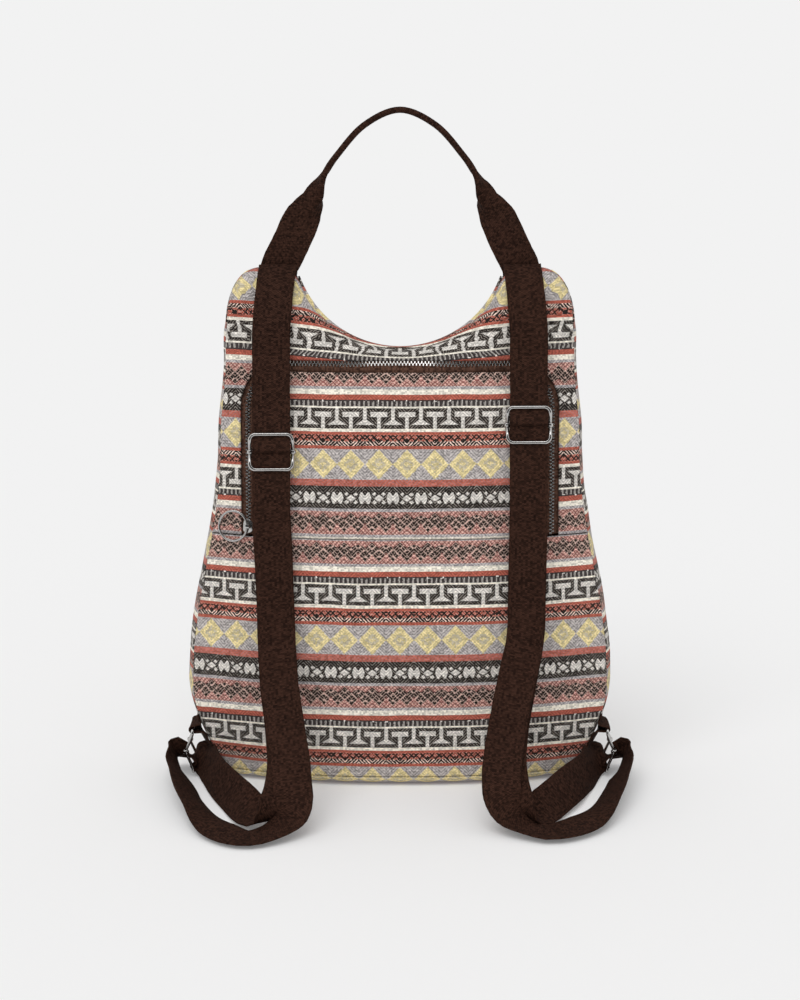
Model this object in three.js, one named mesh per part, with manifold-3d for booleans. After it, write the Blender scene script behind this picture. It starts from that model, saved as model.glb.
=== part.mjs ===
// A soft backpack that stands on its base, seen from its strap side along +Y: two crowned fabric panels on
// side gussets, a U-shaped zip in the back panel, webbing shoulder straps with wire adjusters and a handle.
import * as THREE from "three";
import { mergeVertices } from "three/addons/utils/BufferGeometryUtils.js";
import Module from "manifold-3d";

const wasm = await Module();
wasm.setup();
const { clamp, lerp } = THREE.MathUtils;

// Driving dimensions in millimetres and degrees.
// Body outline, measured on the seams
const baseHalfWidth = 146;
const bellyHalfWidth = 172;
const bellyHeight = 80;
const waistHalfWidth = 147;
const waistHeight = 280;
const shoulderHalfWidth = 142;
const shoulderHeight = 350;
const necklineHeight = 355;
const earHeight = 421;
const earRise = 6.5;
const earCornerDrop = 45;
const earMargin = 0.5;

// Body depth: gusset, crown of the panels and the rounded top edge
const gussetHalfDepth = 34;
const gussetTopHalfDepth = 8;
const gussetTaper = 1.6;
const gussetBulge = 6;
const baseBulge = 3;
const crownDepth = 30;
const crownHeight = 130;
const crownReach = 330;
const crownPower = 2.4;
const edgeRollRatio = 1.1;
const necklineHalfGap = 8;
const necklineBulge = 2;
const wall = 2.4;
const baseThick = 8;
const baseChamfer = 6;
const clearance = 0.3;
const overlap = 0.01;

// Zip in the back panel
const seamHeight = 206;
const zipHalfWidth = 123.5;
const zipTopHeight = 346;
const zipCorner = 36;
const zipFoot = 1.5;
const tapeShowSide = 6;
const tapeShowTop = 3.2;
const tapeShowFlap = 9;
const tapeLap = 4;
const tapeThick = 0.8;
const tapeGap = 0.4;
const chainHalfWidth = 2.4;
const chainThick = 2;
const toothPitch = 12;
const toothReach = 1.4;
const zipSliderRise = 8;
const zipSliderWidth = 8.4;
const zipSliderLength = 11;
const zipSliderPlate = 1.3;
const zipSliderFlange = 1.2;
const bailThick = 1.1;
const bailWidth = 3;
const pullRingRadius = 12.2;
const pullWireRadius = 1;

// Webbing, adjusters and strap rings
const webbingWidth = 30;
const webbingThick = 1.3;
const strapAtEar = 99;
const strapAtAdjuster = 103.5;
const strapSeat = 10.4;
const strapLineTop = 402;
const strapLineLow = 222;
const strapRunIn = 12;
const wireRadius = 1.25;
const frameEase = 1;
const frameCorner = 3.4;
const adjusterHeight = 31;
const adjusterLeftAt = 276.5;
const adjusterRightAt = 298;
const strapEndTail = 18;
const barRadius = 1;
const barEase = 0.1;
const eyeEase = 0.25;
const eyeWall = 0.8;
const eyeHeight = 3.2;
const ringHeight = 39;
const ringBend = 5.5;
const ringAt = 20;
const ringBarHeight = 41;
const tabTopHeight = 57;
const tabLowHeight = 31;

// Carry handle
const handleTop = 549;
const gripWidth = 15;
const gripThick = 4;

// Derived sizes
const seamFloor = baseThick + clearance;
const earHalfGap = webbingThick + 3.5 * clearance;
const earInner = strapAtEar - webbingWidth / 2 - earMargin;
const earOuter = strapAtEar + webbingWidth / 2 + earMargin;
const earInnerHeight = earHeight - earRise;
const necklineDip = earInnerHeight - necklineHeight;
const necklineRadius = (earInner ** 2 + necklineDip ** 2) / (2 * necklineDip);
const earCornerSpan = shoulderHalfWidth - earOuter;
const tapeDepth = wall + tapeGap;
const zipSliderHeight = seamHeight + zipSliderRise;
const frameHalfWidth = webbingWidth / 2 + frameEase + wireRadius;
const barLift = webbingThick / 2 + clearance + wireRadius;
const barDrop = webbingThick * 1.5 + clearance + barEase + barRadius;

// Colours of the finishes
const fabric = { color: 0xb08d80, roughness: 0.95, metalness: 0 };
const webbing = { color: 0x3a241c, roughness: 0.9, metalness: 0 };
const zipTape = { color: 0x452a22, roughness: 0.9, metalness: 0 };
const steel = { color: 0xc9c9cb, roughness: 0.2, metalness: 1 };

const bag = new THREE.Group();

// Adds one named piece to the bag, placed by an optional matrix.
function addPiece(name, geometry, finish, matrix = new THREE.Matrix4()) {
  geometry.computeVertexNormals();
  const mesh = new THREE.Mesh(geometry, new THREE.MeshStandardMaterial(finish));
  mesh.name = name;
  mesh.applyMatrix4(matrix);
  bag.add(mesh);
}

// A geometry with its shared vertices merged and only positions left.
function bare(geometry) {
  geometry.deleteAttribute("normal");
  geometry.deleteAttribute("uv");
  return mergeVertices(geometry);
}

function solidOf(geometry) {
  const merged = bare(geometry);
  const vertProperties = Float32Array.from(merged.attributes.position.array);
  const triVerts = Uint32Array.from(merged.index.array);
  return new wasm.Manifold(new wasm.Mesh({ numProp: 3, vertProperties, triVerts }));
}

function geometryOf(solid) {
  const mesh = solid.getMesh();
  const geometry = new THREE.BufferGeometry();
  geometry.setAttribute("position", new THREE.BufferAttribute(Float32Array.from(mesh.vertProperties), 3));
  geometry.setIndex(new THREE.BufferAttribute(Uint32Array.from(mesh.triVerts), 1));
  return geometry;
}

// A box of nx by ny by nz cells whose corners are moved by place(u, v, w), each from 0 to 1.
function bentBox(nx, ny, nz, place) {
  const geometry = bare(new THREE.BoxGeometry(1, 1, 1, nx, ny, nz));
  const spots = geometry.attributes.position;
  const corner = new THREE.Vector3();
  for (let i = 0; i < spots.count; i += 1) {
    corner.fromBufferAttribute(spots, i).addScalar(0.5);
    spots.setXYZ(i, ...place(corner.x, corner.y, corner.z).toArray());
  }
  return geometry;
}

// Corners of a band's cross-sections, two cells across, on the face side and then on the other.
function bandCorners(frames) {
  const last = frames.length - 1;
  return frames.flatMap((frame, k) => {
    const ahead = frames[Math.min(k + 1, last)].centre.clone();
    const along = ahead.sub(frames[Math.max(k - 1, 0)].centre).normalize();
    const across = frame.across.clone().addScaledVector(along, -frame.across.dot(along)).normalize();
    const face = along.clone().cross(across);
    const spots = [0.5, -0.5].flatMap((v) => [-0.5, 0, 0.5].map((u) => [u, v]));
    return spots.map(([u, v]) => {
      const point = frame.centre.clone().addScaledVector(across, u * frame.width);
      return point.addScaledVector(face, v * frame.thick);
    });
  });
}

// A flat band through frames, each with its centre, its across direction, its width and its thickness.
// Both faces are split along the same lines, so that a twisted band keeps its thickness.
function bandGeometry(frames) {
  const section = 6;
  const index = [];
  const quad = (a, b, c, d) => index.push(a, b, c, a, c, d);
  const crossQuad = (a, b, c, d) => quad(b, c, d, a);
  for (let k = 0; k < frames.length - 1; k += 1) {
    const here = k * section;
    const next = here + section;
    quad(here, next, next + 1, here + 1);
    crossQuad(here + 1, next + 1, next + 2, here + 2);
    crossQuad(here + 4, next + 4, next + 3, here + 3);
    quad(here + 5, next + 5, next + 4, here + 4);
    quad(here, here + 3, next + 3, next);
    quad(here + 2, next + 2, next + 5, here + 5);
  }
  const tail = (frames.length - 1) * section;
  for (const column of [0, 1]) {
    quad(column, column + 1, column + 4, column + 3);
    quad(tail + column, tail + column + 3, tail + column + 4, tail + column + 1);
  }
  const geometry = new THREE.BufferGeometry().setFromPoints(bandCorners(frames));
  return geometry.setIndex(index);
}

// Frames along a smooth curve through stations, about one for each step of length and each step of twist.
function smoothFrames(stations, step) {
  const twistStep = 0.2;
  const centres = new THREE.CatmullRomCurve3(stations.map((s) => s.centre), false, "catmullrom", 0.5);
  const acrosses = new THREE.CatmullRomCurve3(stations.map((s) => s.across), false, "catmullrom", 0.5);
  const spans = stations.length - 1;
  const frames = [];
  for (let k = 0; k < spans; k += 1) {
    const run = stations[k].centre.distanceTo(stations[k + 1].centre);
    const twist = stations[k].across.angleTo(stations[k + 1].across);
    const cells = Math.max(1, Math.round(run / step), Math.round(twist / twistStep));
    for (let i = 0; i < cells + (k === spans - 1 ? 1 : 0); i += 1) {
      const part = i / cells;
      frames.push({
        centre: centres.getPoint((k + part) / spans),
        across: acrosses.getPoint((k + part) / spans),
        width: lerp(stations[k].width, stations[k + 1].width, part),
        thick: lerp(stations[k].thick, stations[k + 1].thick, part),
      });
    }
  }
  return frames;
}

const cosineStep = (u) => 0.5 - 0.5 * Math.cos(Math.PI * clamp(u, 0, 1));

// Half-width of the body on its side seam at a height.
function sideHalfWidth(z) {
  if (z < bellyHeight) {
    const rise = clamp((z - seamFloor) / (bellyHeight - seamFloor), 0, 1);
    return lerp(baseHalfWidth, bellyHalfWidth, Math.sin((rise * Math.PI) / 2));
  }
  if (z < waistHeight) {
    const climb = cosineStep((z - bellyHeight) / (waistHeight - bellyHeight));
    return lerp(bellyHalfWidth, waistHalfWidth, climb);
  }
  const climb = cosineStep((z - waistHeight) / (shoulderHeight - waistHeight));
  return lerp(waistHalfWidth, shoulderHalfWidth, climb);
}

// Height of the top outline: the neckline arc, the sloped ear top and the ear's round outer corner.
function topHeight(x) {
  const reach = Math.min(Math.abs(x), shoulderHalfWidth);
  if (reach < earInner) {
    return necklineHeight + necklineRadius - Math.sqrt(necklineRadius ** 2 - reach ** 2);
  }
  if (reach < earOuter) {
    return lerp(earInnerHeight, earHeight, (reach - earInner) / (earOuter - earInner));
  }
  const turn = Math.min((reach - earOuter) / earCornerSpan, 1);
  return earHeight - earCornerDrop * (1 - Math.sqrt(1 - turn ** 2));
}

// Half-depth of the body at a point of a panel: the gusset and the crown, rolled in towards the top edge.
function halfDepth(x, z) {
  const side = lerp(gussetHalfDepth, gussetTopHalfDepth, clamp(z / earHeight, 0, 1) ** gussetTaper);
  const swell = Math.max(0, 1 - ((z - crownHeight) / crownReach) ** 2);
  const spread = 1 - Math.min(Math.abs(x) / sideHalfWidth(z), 1) ** crownPower;
  const middle = cosineStep((earInner - Math.abs(x)) / (earInner / 2));
  const edge = lerp(earHalfGap, necklineHalfGap, middle);
  const full = side + crownDepth * swell * spread - edge;
  const drop = clamp((topHeight(x) - z) / (edgeRollRatio * full), 0, 1);
  return edge + full * Math.sqrt(1 - (1 - drop) ** 2);
}

// A point on the outer face of the back (side -1) or front (side +1) panel, moved inwards by a depth.
function panelPoint(side, x, z, depth) {
  const y = side * halfDepth(x, z);
  return new THREE.Vector3(x, y, z).addScaledVector(panelNormal(side, x, z), -depth);
}

function panelNormal(side, x, z) {
  const slopeX = (halfDepth(x + 1, z) - halfDepth(x - 1, z)) / 2;
  const slopeZ = (halfDepth(x, z) - halfDepth(x, z - 0.5)) / 0.5;
  return new THREE.Vector3(-slopeX, side, -slopeZ).normalize();
}

// Columns of a panel from -1 to 1, with one at each corner of the ears.
function panelColumns() {
  const corners = [[0, earInner, 5], [earInner, earOuter, 2], [earOuter, shoulderHalfWidth, 3]];
  const half = [];
  for (const [from, to, cells] of corners) {
    for (let i = 1; i <= cells; i += 1) {
      half.push(lerp(from, to, i / cells) / shoulderHalfWidth);
    }
  }
  return [...half.map((s) => -s).reverse(), 0, ...half];
}

// A sheet that follows a panel between two depths under its outer face.
function panelSheet(side, outer, inner) {
  const columns = panelColumns();
  const rows = 14;
  const rowCrowding = 1.8;
  return bentBox(columns.length - 1, rows, 1, (u, v, w) => {
    const s = -side * columns[Math.round(u * (columns.length - 1))];
    const top = topHeight(s * shoulderHalfWidth);
    const z = lerp(seamFloor, top, 1 - (1 - v) ** rowCrowding);
    return panelPoint(side, s * sideHalfWidth(z), z, lerp(inner, outer, w));
  });
}

// A prism through the whole depth of the bag from an outline in X and Z.
function prism(shape) {
  const reach = 4 * (gussetHalfDepth + crownDepth);
  const options = { depth: reach, bevelEnabled: false, curveSegments: 8 };
  const geometry = new THREE.ExtrudeGeometry(shape, options);
  geometry.rotateX(Math.PI / 2);
  geometry.translate(0, reach / 2, 0);
  return solidOf(geometry);
}

// The zip's U as an outline, grown past its centre line by its sides and its top.
function zipWindow(growSide, growTop) {
  const half = zipHalfWidth + growSide;
  const top = zipTopHeight + growTop;
  const corner = zipCorner + Math.min(growSide, growTop);
  const foot = seamHeight - zipCorner;
  const shape = new THREE.Shape();
  shape.moveTo(-half, foot);
  shape.lineTo(half, foot);
  shape.lineTo(half, top - corner);
  shape.absarc(half - corner, top - corner, corner, 0, Math.PI / 2, false);
  shape.lineTo(corner - half, top);
  shape.absarc(corner - half, top - corner, corner, Math.PI / 2, Math.PI, false);
  return shape;
}

function slab(low, high) {
  const width = 4 * bellyHalfWidth;
  const geometry = new THREE.BoxGeometry(width, width, high - low);
  geometry.translate(0, 0, (high + low) / 2);
  return solidOf(geometry);
}

function addPanels() {
  addPiece("front_panel", panelSheet(1, 0, wall), fabric);
  const back = solidOf(panelSheet(-1, 0, wall));
  const upper = slab(seamHeight + clearance / 2, 2 * earHeight);
  const lower = slab(-baseThick, seamHeight - clearance / 2);
  addPiece("back_lower_panel", geometryOf(back.intersect(lower)), fabric);
  const upperBack = back.intersect(upper);
  const opening = prism(zipWindow(tapeShowSide, tapeShowTop));
  addPiece("back_yoke_panel", geometryOf(upperBack.subtract(opening)), fabric);
  const flap = prism(zipWindow(-tapeShowFlap, -tapeShowFlap));
  addPiece("zip_flap_panel", geometryOf(upperBack.intersect(flap)), fabric);

  const tape = solidOf(panelSheet(-1, tapeDepth, tapeDepth + tapeThick)).intersect(upper);
  const outerRim = prism(zipWindow(tapeShowSide + tapeLap, tapeShowTop + tapeLap));
  const outerHole = prism(zipWindow(clearance, clearance));
  addPiece("zip_tape_outer", geometryOf(tape.intersect(outerRim).subtract(outerHole)), zipTape);
  const innerRim = prism(zipWindow(-clearance, -clearance));
  const innerHole = prism(zipWindow(-tapeShowFlap - tapeLap, -tapeShowFlap - tapeLap));
  addPiece("zip_tape_inner", geometryOf(tape.intersect(innerRim).subtract(innerHole)), zipTape);
}

// Points and outward normals of the right side outline, from the base up round the ear's corner.
function sideOutline() {
  const cornerFoot = earHeight - earCornerDrop;
  const sideCells = 14;
  const cornerCells = 5;
  const cornerEnd = (72 * Math.PI) / 180;
  const spots = [];
  for (let i = 0; i <= sideCells; i += 1) {
    const z = lerp(seamFloor, cornerFoot, i / sideCells);
    spots.push({ x: sideHalfWidth(z), z, nx: 1, nz: 0 });
  }
  for (let i = 1; i <= cornerCells; i += 1) {
    const angle = (cornerEnd * i) / cornerCells;
    const normal = new THREE.Vector2(Math.cos(angle) / earCornerSpan, Math.sin(angle) / earCornerDrop);
    normal.normalize();
    const x = earOuter + earCornerSpan * Math.cos(angle);
    spots.push({ x, z: cornerFoot + earCornerDrop * Math.sin(angle), nx: normal.x, nz: normal.y });
  }
  return spots;
}

function gussetReach(x, z) {
  return halfDepth(x, z) - wall - clearance;
}

// How far the middle of a gusset stands out of the side seams at a height.
function sideBulge(z) {
  return lerp(baseBulge, gussetBulge, clamp((z - seamFloor) / (bellyHeight - seamFloor), 0, 1));
}

function addGussets() {
  const spots = sideOutline();
  const last = spots.length - 1;
  const widest = gussetReach(spots[0].x, spots[0].z);
  for (const [name, side] of [["left", -1], ["right", 1]]) {
    const geometry = bentBox(4, last, 1, (u, v, w) => {
      const spot = spots[Math.round(v * last)];
      const part = 2 * u - 1;
      const half = Math.max(gussetReach(spot.x, spot.z), earHalfGap / 2);
      const off = sideBulge(spot.z) * Math.min(half / widest, 1) * (1 - part ** 2) - (1 - w) * wall;
      const x = side * (spot.x + spot.nx * off);
      return new THREE.Vector3(x, side * part * half, spot.z + spot.nz * off);
    });
    addPiece(`side_gusset_${name}`, geometry, fabric);
  }
}

function addNecklineStrip() {
  const across = panelColumns().map((s) => s * shoulderHalfWidth);
  const places = across.filter((x) => Math.abs(x) < earInner + clearance);
  const last = places.length - 1;
  const geometry = bentBox(2, last, 1, (u, v, w) => {
    const x = clamp(places[Math.round(v * last)], clearance - earInner, earInner - clearance);
    const lean = Math.asin(x / necklineRadius);
    const edge = panelPoint(1, x, topHeight(x), (1 - w) * wall);
    const part = 2 * u - 1;
    const off = necklineBulge * (1 - part ** 2);
    const y = part * (clearance - edge.y);
    return new THREE.Vector3(edge.x - off * Math.sin(lean), y, edge.z + off * Math.cos(lean));
  });
  addPiece("neckline_strip", geometry, fabric);
}

// The base is a plate under the panels and gussets, drawn in towards its flat underside.
function addBase() {
  const cells = 12;
  const geometry = bentBox(cells, 4, 1, (u, v, w) => {
    const s = 2 * u - 1;
    const part = 2 * v - 1;
    const half = halfDepth(s * baseHalfWidth, seamFloor);
    const end = baseHalfWidth + baseBulge * (1 - part ** 2);
    const shrink = w < 0.5 ? baseChamfer : 0;
    return new THREE.Vector3(s * (end - shrink), part * (half - shrink), w * baseThick);
  });
  addPiece("base_panel", geometry, fabric);
}

// Route of the zip's centre line from the left foot over the top to the right foot.
function zipRoute() {
  const foot = seamHeight + zipFoot;
  const shoulder = zipTopHeight - zipCorner;
  const leg = shoulder - foot;
  const arc = (zipCorner * Math.PI) / 2;
  const flat = 2 * (zipHalfWidth - zipCorner);
  const length = 2 * leg + 2 * arc + flat;
  const cells = 2 * Math.round(length / toothPitch);
  const route = [];
  for (let k = 0; k <= cells; k += 1) {
    const run = (length * k) / cells;
    const rest = Math.min(run, length - run);
    const side = run <= length / 2 ? -1 : 1;
    if (rest <= leg) {
      route.push({ x: side * zipHalfWidth, z: foot + rest, ox: side, oz: 0, leg: true });
      continue;
    }
    const turn = clamp((rest - leg) / zipCorner, 0, Math.PI / 2);
    const over = Math.max(0, rest - leg - arc);
    const x = side * (zipHalfWidth - zipCorner + zipCorner * Math.cos(turn) - over);
    const z = shoulder + zipCorner * Math.sin(turn);
    route.push({ x, z, ox: side * Math.cos(turn), oz: Math.sin(turn), leg: false });
  }
  return route;
}

// Foot and shoulder of a zip leg on the panel, with the panel's normals there.
function zipLeg(side) {
  const ends = [seamHeight + zipFoot, zipTopHeight - zipCorner];
  return ends.map((z) => {
    const x = side * zipHalfWidth;
    return { z, point: panelPoint(-1, x, z, 0), normal: panelNormal(-1, x, z) };
  });
}

// A point of the zip on the panel's outer face, straight along the legs, with its normal.
function zipFrame(spot) {
  if (!spot.leg) {
    const normal = panelNormal(-1, spot.x, spot.z);
    return { point: panelPoint(-1, spot.x, spot.z, 0), normal };
  }
  const [foot, shoulder] = zipLeg(Math.sign(spot.x));
  const part = (spot.z - foot.z) / (shoulder.z - foot.z);
  const point = foot.point.clone().lerp(shoulder.point, part);
  const normal = foot.normal.clone().lerp(shoulder.normal, part).normalize();
  return { point, normal };
}

// Two rows of teeth that mesh along a zigzag.
function addChain() {
  const route = zipRoute();
  const rows = { zip_teeth_outer: 1, zip_teeth_inner: -1 };
  for (const [name, row] of Object.entries(rows)) {
    const frames = route.map((spot, k) => {
      const { point, normal } = zipFrame(spot);
      const out = new THREE.Vector3(spot.ox, 0, spot.oz);
      out.addScaledVector(normal, -out.dot(normal)).normalize();
      const edge = (k % 2 ? 0.5 : -0.5) * toothReach + row * clearance;
      const centre = point.addScaledVector(normal, -wall / 2);
      centre.addScaledVector(out, (edge + row * chainHalfWidth) / 2);
      return { centre, across: out, width: Math.abs(row * chainHalfWidth - edge), thick: chainThick };
    });
    addPiece(name, bandGeometry(frames), steel);
  }
}

// A plate with a centred outline in local X and Y, from one local Z to another.
function plate(shape, low, high) {
  const options = { depth: high - low, bevelEnabled: false, curveSegments: 6 };
  const geometry = new THREE.ExtrudeGeometry(shape, options);
  geometry.translate(0, 0, low);
  return solidOf(geometry);
}

function boxSolid(width, height, depth, x, y, z) {
  const geometry = new THREE.BoxGeometry(width, height, depth);
  geometry.translate(x, y, z);
  return solidOf(geometry);
}

function zipSliderShape() {
  const half = zipSliderWidth / 2;
  const long = zipSliderLength / 2;
  const shape = new THREE.Shape();
  shape.moveTo(-half * 0.6, -long);
  shape.lineTo(half * 0.6, -long);
  shape.quadraticCurveTo(half, -long, half, 0);
  shape.quadraticCurveTo(half, long, half * 0.5, long);
  shape.lineTo(-half * 0.5, long);
  shape.quadraticCurveTo(-half, long, -half, 0);
  shape.quadraticCurveTo(-half, -long, -half * 0.6, -long);
  return shape;
}

// The bail is an arch over the slider that holds the pull ring's wire.
function bailSolid(low) {
  const hole = 2 * (pullWireRadius + clearance);
  const span = hole + 2 * bailThick;
  const arch = boxSolid(span, bailWidth, hole + bailThick, 0, 0, low + (hole + bailThick) / 2);
  const inside = boxSolid(hole, 2 * bailWidth, hole, 0, 0, low + hole / 2 - overlap);
  return arch.subtract(inside);
}

function addZipSlider() {
  const { point, normal } = zipFrame({ x: -zipHalfWidth, z: zipSliderHeight, leg: true });
  const [foot, shoulder] = zipLeg(-1);
  const up = shoulder.point.clone().sub(foot.point).normalize();
  const right = up.clone().cross(normal).normalize();
  const face = right.clone().cross(up);
  const place = new THREE.Matrix4().makeBasis(right, up, face).setPosition(point);

  const low = clearance + (chainThick - wall) / 2;
  const high = low + zipSliderPlate;
  const flangeDepth = tapeDepth + low - clearance;
  const flangeAt = (zipSliderWidth - zipSliderFlange) / 2;
  const flangeMiddle = low + overlap - flangeDepth / 2;
  let slider = plate(zipSliderShape(), low, high);
  for (const side of [-1, 1]) {
    const long = zipSliderLength / 2;
    slider = slider.add(boxSolid(zipSliderFlange, long, flangeDepth, side * flangeAt, 0, flangeMiddle));
  }
  addPiece("zip_slider", geometryOf(slider.add(bailSolid(high - overlap))), steel, place);

  const ring = bare(new THREE.TorusGeometry(pullRingRadius, pullWireRadius, 6, 24));
  ring.translate(-pullRingRadius, 0, high + clearance + pullWireRadius);
  addPiece("zip_pull_ring", ring, steel, place);
}

// Closed wire route of a slider frame: bars lifted in front, side wires bent back to hold a centre bar.
function frameRoute(halfWidth, halfHeight, lift, drop) {
  const middle = eyeHeight;
  const path = new THREE.CurvePath();
  const at = (x, y, z) => new THREE.Vector3(x, y, z);
  const corner = Math.min(frameCorner, halfHeight / 2);
  for (const turn of [1, -1]) {
    const barStart = at(-turn * (halfWidth - corner), turn * halfHeight, lift);
    const barEnd = at(turn * (halfWidth - corner), turn * halfHeight, lift);
    const shoulder = at(turn * halfWidth, turn * (halfHeight - corner), lift);
    const upper = at(turn * halfWidth, turn * middle, -drop);
    const lower = at(turn * halfWidth, -turn * middle, -drop);
    const hip = at(turn * halfWidth, -turn * (halfHeight - corner), lift);
    const foot = at(turn * (halfWidth - corner), -turn * halfHeight, lift);
    path.add(new THREE.LineCurve3(barStart, barEnd));
    const bend = at(turn * halfWidth, turn * halfHeight, lift);
    path.add(new THREE.QuadraticBezierCurve3(barEnd, bend, shoulder));
    path.add(new THREE.LineCurve3(shoulder, upper));
    path.add(new THREE.LineCurve3(upper, lower));
    path.add(new THREE.LineCurve3(lower, hip));
    path.add(new THREE.QuadraticBezierCurve3(hip, at(turn * halfWidth, -turn * halfHeight, lift), foot));
  }
  return path;
}

function wireFrame(halfWidth, halfHeight, lift, drop) {
  return bare(new THREE.TubeGeometry(frameRoute(halfWidth, halfHeight, lift, drop), 40, wireRadius, 6, true));
}

// A centre bar with an eye round each side wire.
function centreBar(halfWidth, drop) {
  const eyeBore = wireRadius + eyeEase;
  const rod = new THREE.CylinderGeometry(barRadius, barRadius, 2 * halfWidth, 8);
  rod.rotateZ(Math.PI / 2);
  let bar = solidOf(rod);
  for (const side of [-1, 1]) {
    const eye = new THREE.CylinderGeometry(eyeBore + eyeWall, eyeBore + eyeWall, eyeHeight, 10);
    bar = bar.add(solidOf(eye.translate(side * halfWidth, 0, 0)));
  }
  for (const side of [-1, 1]) {
    const bore = new THREE.CylinderGeometry(eyeBore, eyeBore, 2 * eyeHeight, 10);
    bar = bar.subtract(solidOf(bore.translate(side * halfWidth, 0, 0)));
  }
  return geometryOf(bar).translate(0, 0, -drop);
}

// Place of the strap's straight run at a height, on the right side.
function strapLine(z) {
  const inner = strapAtAdjuster - frameHalfWidth - wireRadius;
  const seat = (at) => -halfDepth(inner, at) - strapSeat + webbingThick;
  const part = (z - strapLineLow) / (strapLineTop - strapLineLow);
  return lerp(seat(strapLineLow), seat(strapLineTop), part);
}

// The sewn end of the strap: a loop round the adjuster's centre bar with a short doubled tail.
function strapEnd() {
  const round = barRadius + barEase + webbingThick / 2;
  const apart = webbingThick / 2 + clearance;
  const spots = [[-strapEndTail, apart], [-6, round - 0.2]];
  for (const angle of [0, 30, 60, 90, 120, 150, 180]) {
    const turn = (angle * Math.PI) / 180;
    spots.push([round * Math.sin(turn), round * Math.cos(turn)]);
  }
  spots.push([-6, 0.2 - round], [-strapEndTail, -apart]);
  const across = new THREE.Vector3(1, 0, 0);
  return bandGeometry(spots.map(([y, z]) => ({
    centre: new THREE.Vector3(0, y, z - barDrop),
    across,
    width: webbingWidth,
    thick: webbingThick,
  })));
}

function addAdjuster(name, side, height) {
  const low = new THREE.Vector3(0, strapLine(strapLineLow), strapLineLow);
  const up = new THREE.Vector3(0, strapLine(strapLineTop), strapLineTop).sub(low).normalize();
  const right = new THREE.Vector3(1, 0, 0);
  const place = new THREE.Matrix4().makeBasis(right, up, right.clone().cross(up));
  place.setPosition(side * strapAtAdjuster, strapLine(height), height);
  const halfHeight = adjusterHeight / 2 - wireRadius;
  addPiece(`adjuster_frame_${name}`, wireFrame(frameHalfWidth, halfHeight, barLift, barDrop), steel, place);
  addPiece(`adjuster_bar_${name}`, centreBar(frameHalfWidth, barDrop), steel, place);
  addPiece(`strap_end_${name}`, strapEnd(), webbing, place);
}

// Outside of the gusset beside a strap ring's tab at a height, with a gap and half the webbing.
function tabSeat(z) {
  return sideHalfWidth(z) + gussetBulge + clearance + webbingThick / 2;
}

function ringCentre() {
  const wrap = wireRadius + 1.5 * clearance + webbingThick;
  return new THREE.Vector2(tabSeat(ringBarHeight) + wrap - webbingThick / 2, ringBarHeight);
}

// A tab sewn to the gusset above and below the ring and looped round the ring's top bar.
function tabGeometry(side) {
  const bar = ringCentre();
  const round = wireRadius + 1.5 * clearance + webbingThick / 2;
  const spots = [[tabSeat(tabTopHeight), tabTopHeight], [tabSeat(tabTopHeight - 6), tabTopHeight - 6]];
  for (const angle of [80, 50, 20, -10, -40, -70, -100, -130]) {
    const turn = (angle * Math.PI) / 180;
    spots.push([bar.x + round * Math.cos(turn), bar.y + round * Math.sin(turn)]);
  }
  for (const z of [ringBarHeight - 6, tabLowHeight]) {
    spots.push([tabSeat(z), z]);
  }
  const across = new THREE.Vector3(0, 1, 0);
  return bandGeometry(spots.map(([out, z]) => ({
    centre: new THREE.Vector3(side * out, -ringAt, z),
    across,
    width: webbingWidth,
    thick: webbingThick,
  })));
}

function addRing(name, side) {
  const bar = ringCentre();
  const up = new THREE.Vector3(0, 0, 1);
  const inward = new THREE.Vector3(-side, 0, 0);
  const place = new THREE.Matrix4().makeBasis(up.clone().cross(inward), up, inward);
  place.setPosition(side * bar.x, -ringAt, bar.y);
  const halfHeight = ringHeight / 2 - wireRadius;
  const frame = wireFrame(frameHalfWidth, halfHeight, 0, ringBend).translate(0, -halfHeight, 0);
  addPiece(`strap_ring_${name}`, frame, steel, place);
  const barPiece = centreBar(frameHalfWidth, ringBend).translate(0, -halfHeight, 0);
  addPiece(`ring_bar_${name}`, barPiece, steel, place);
  addPiece(`ring_tab_${name}`, tabGeometry(side), webbing);
}

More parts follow.
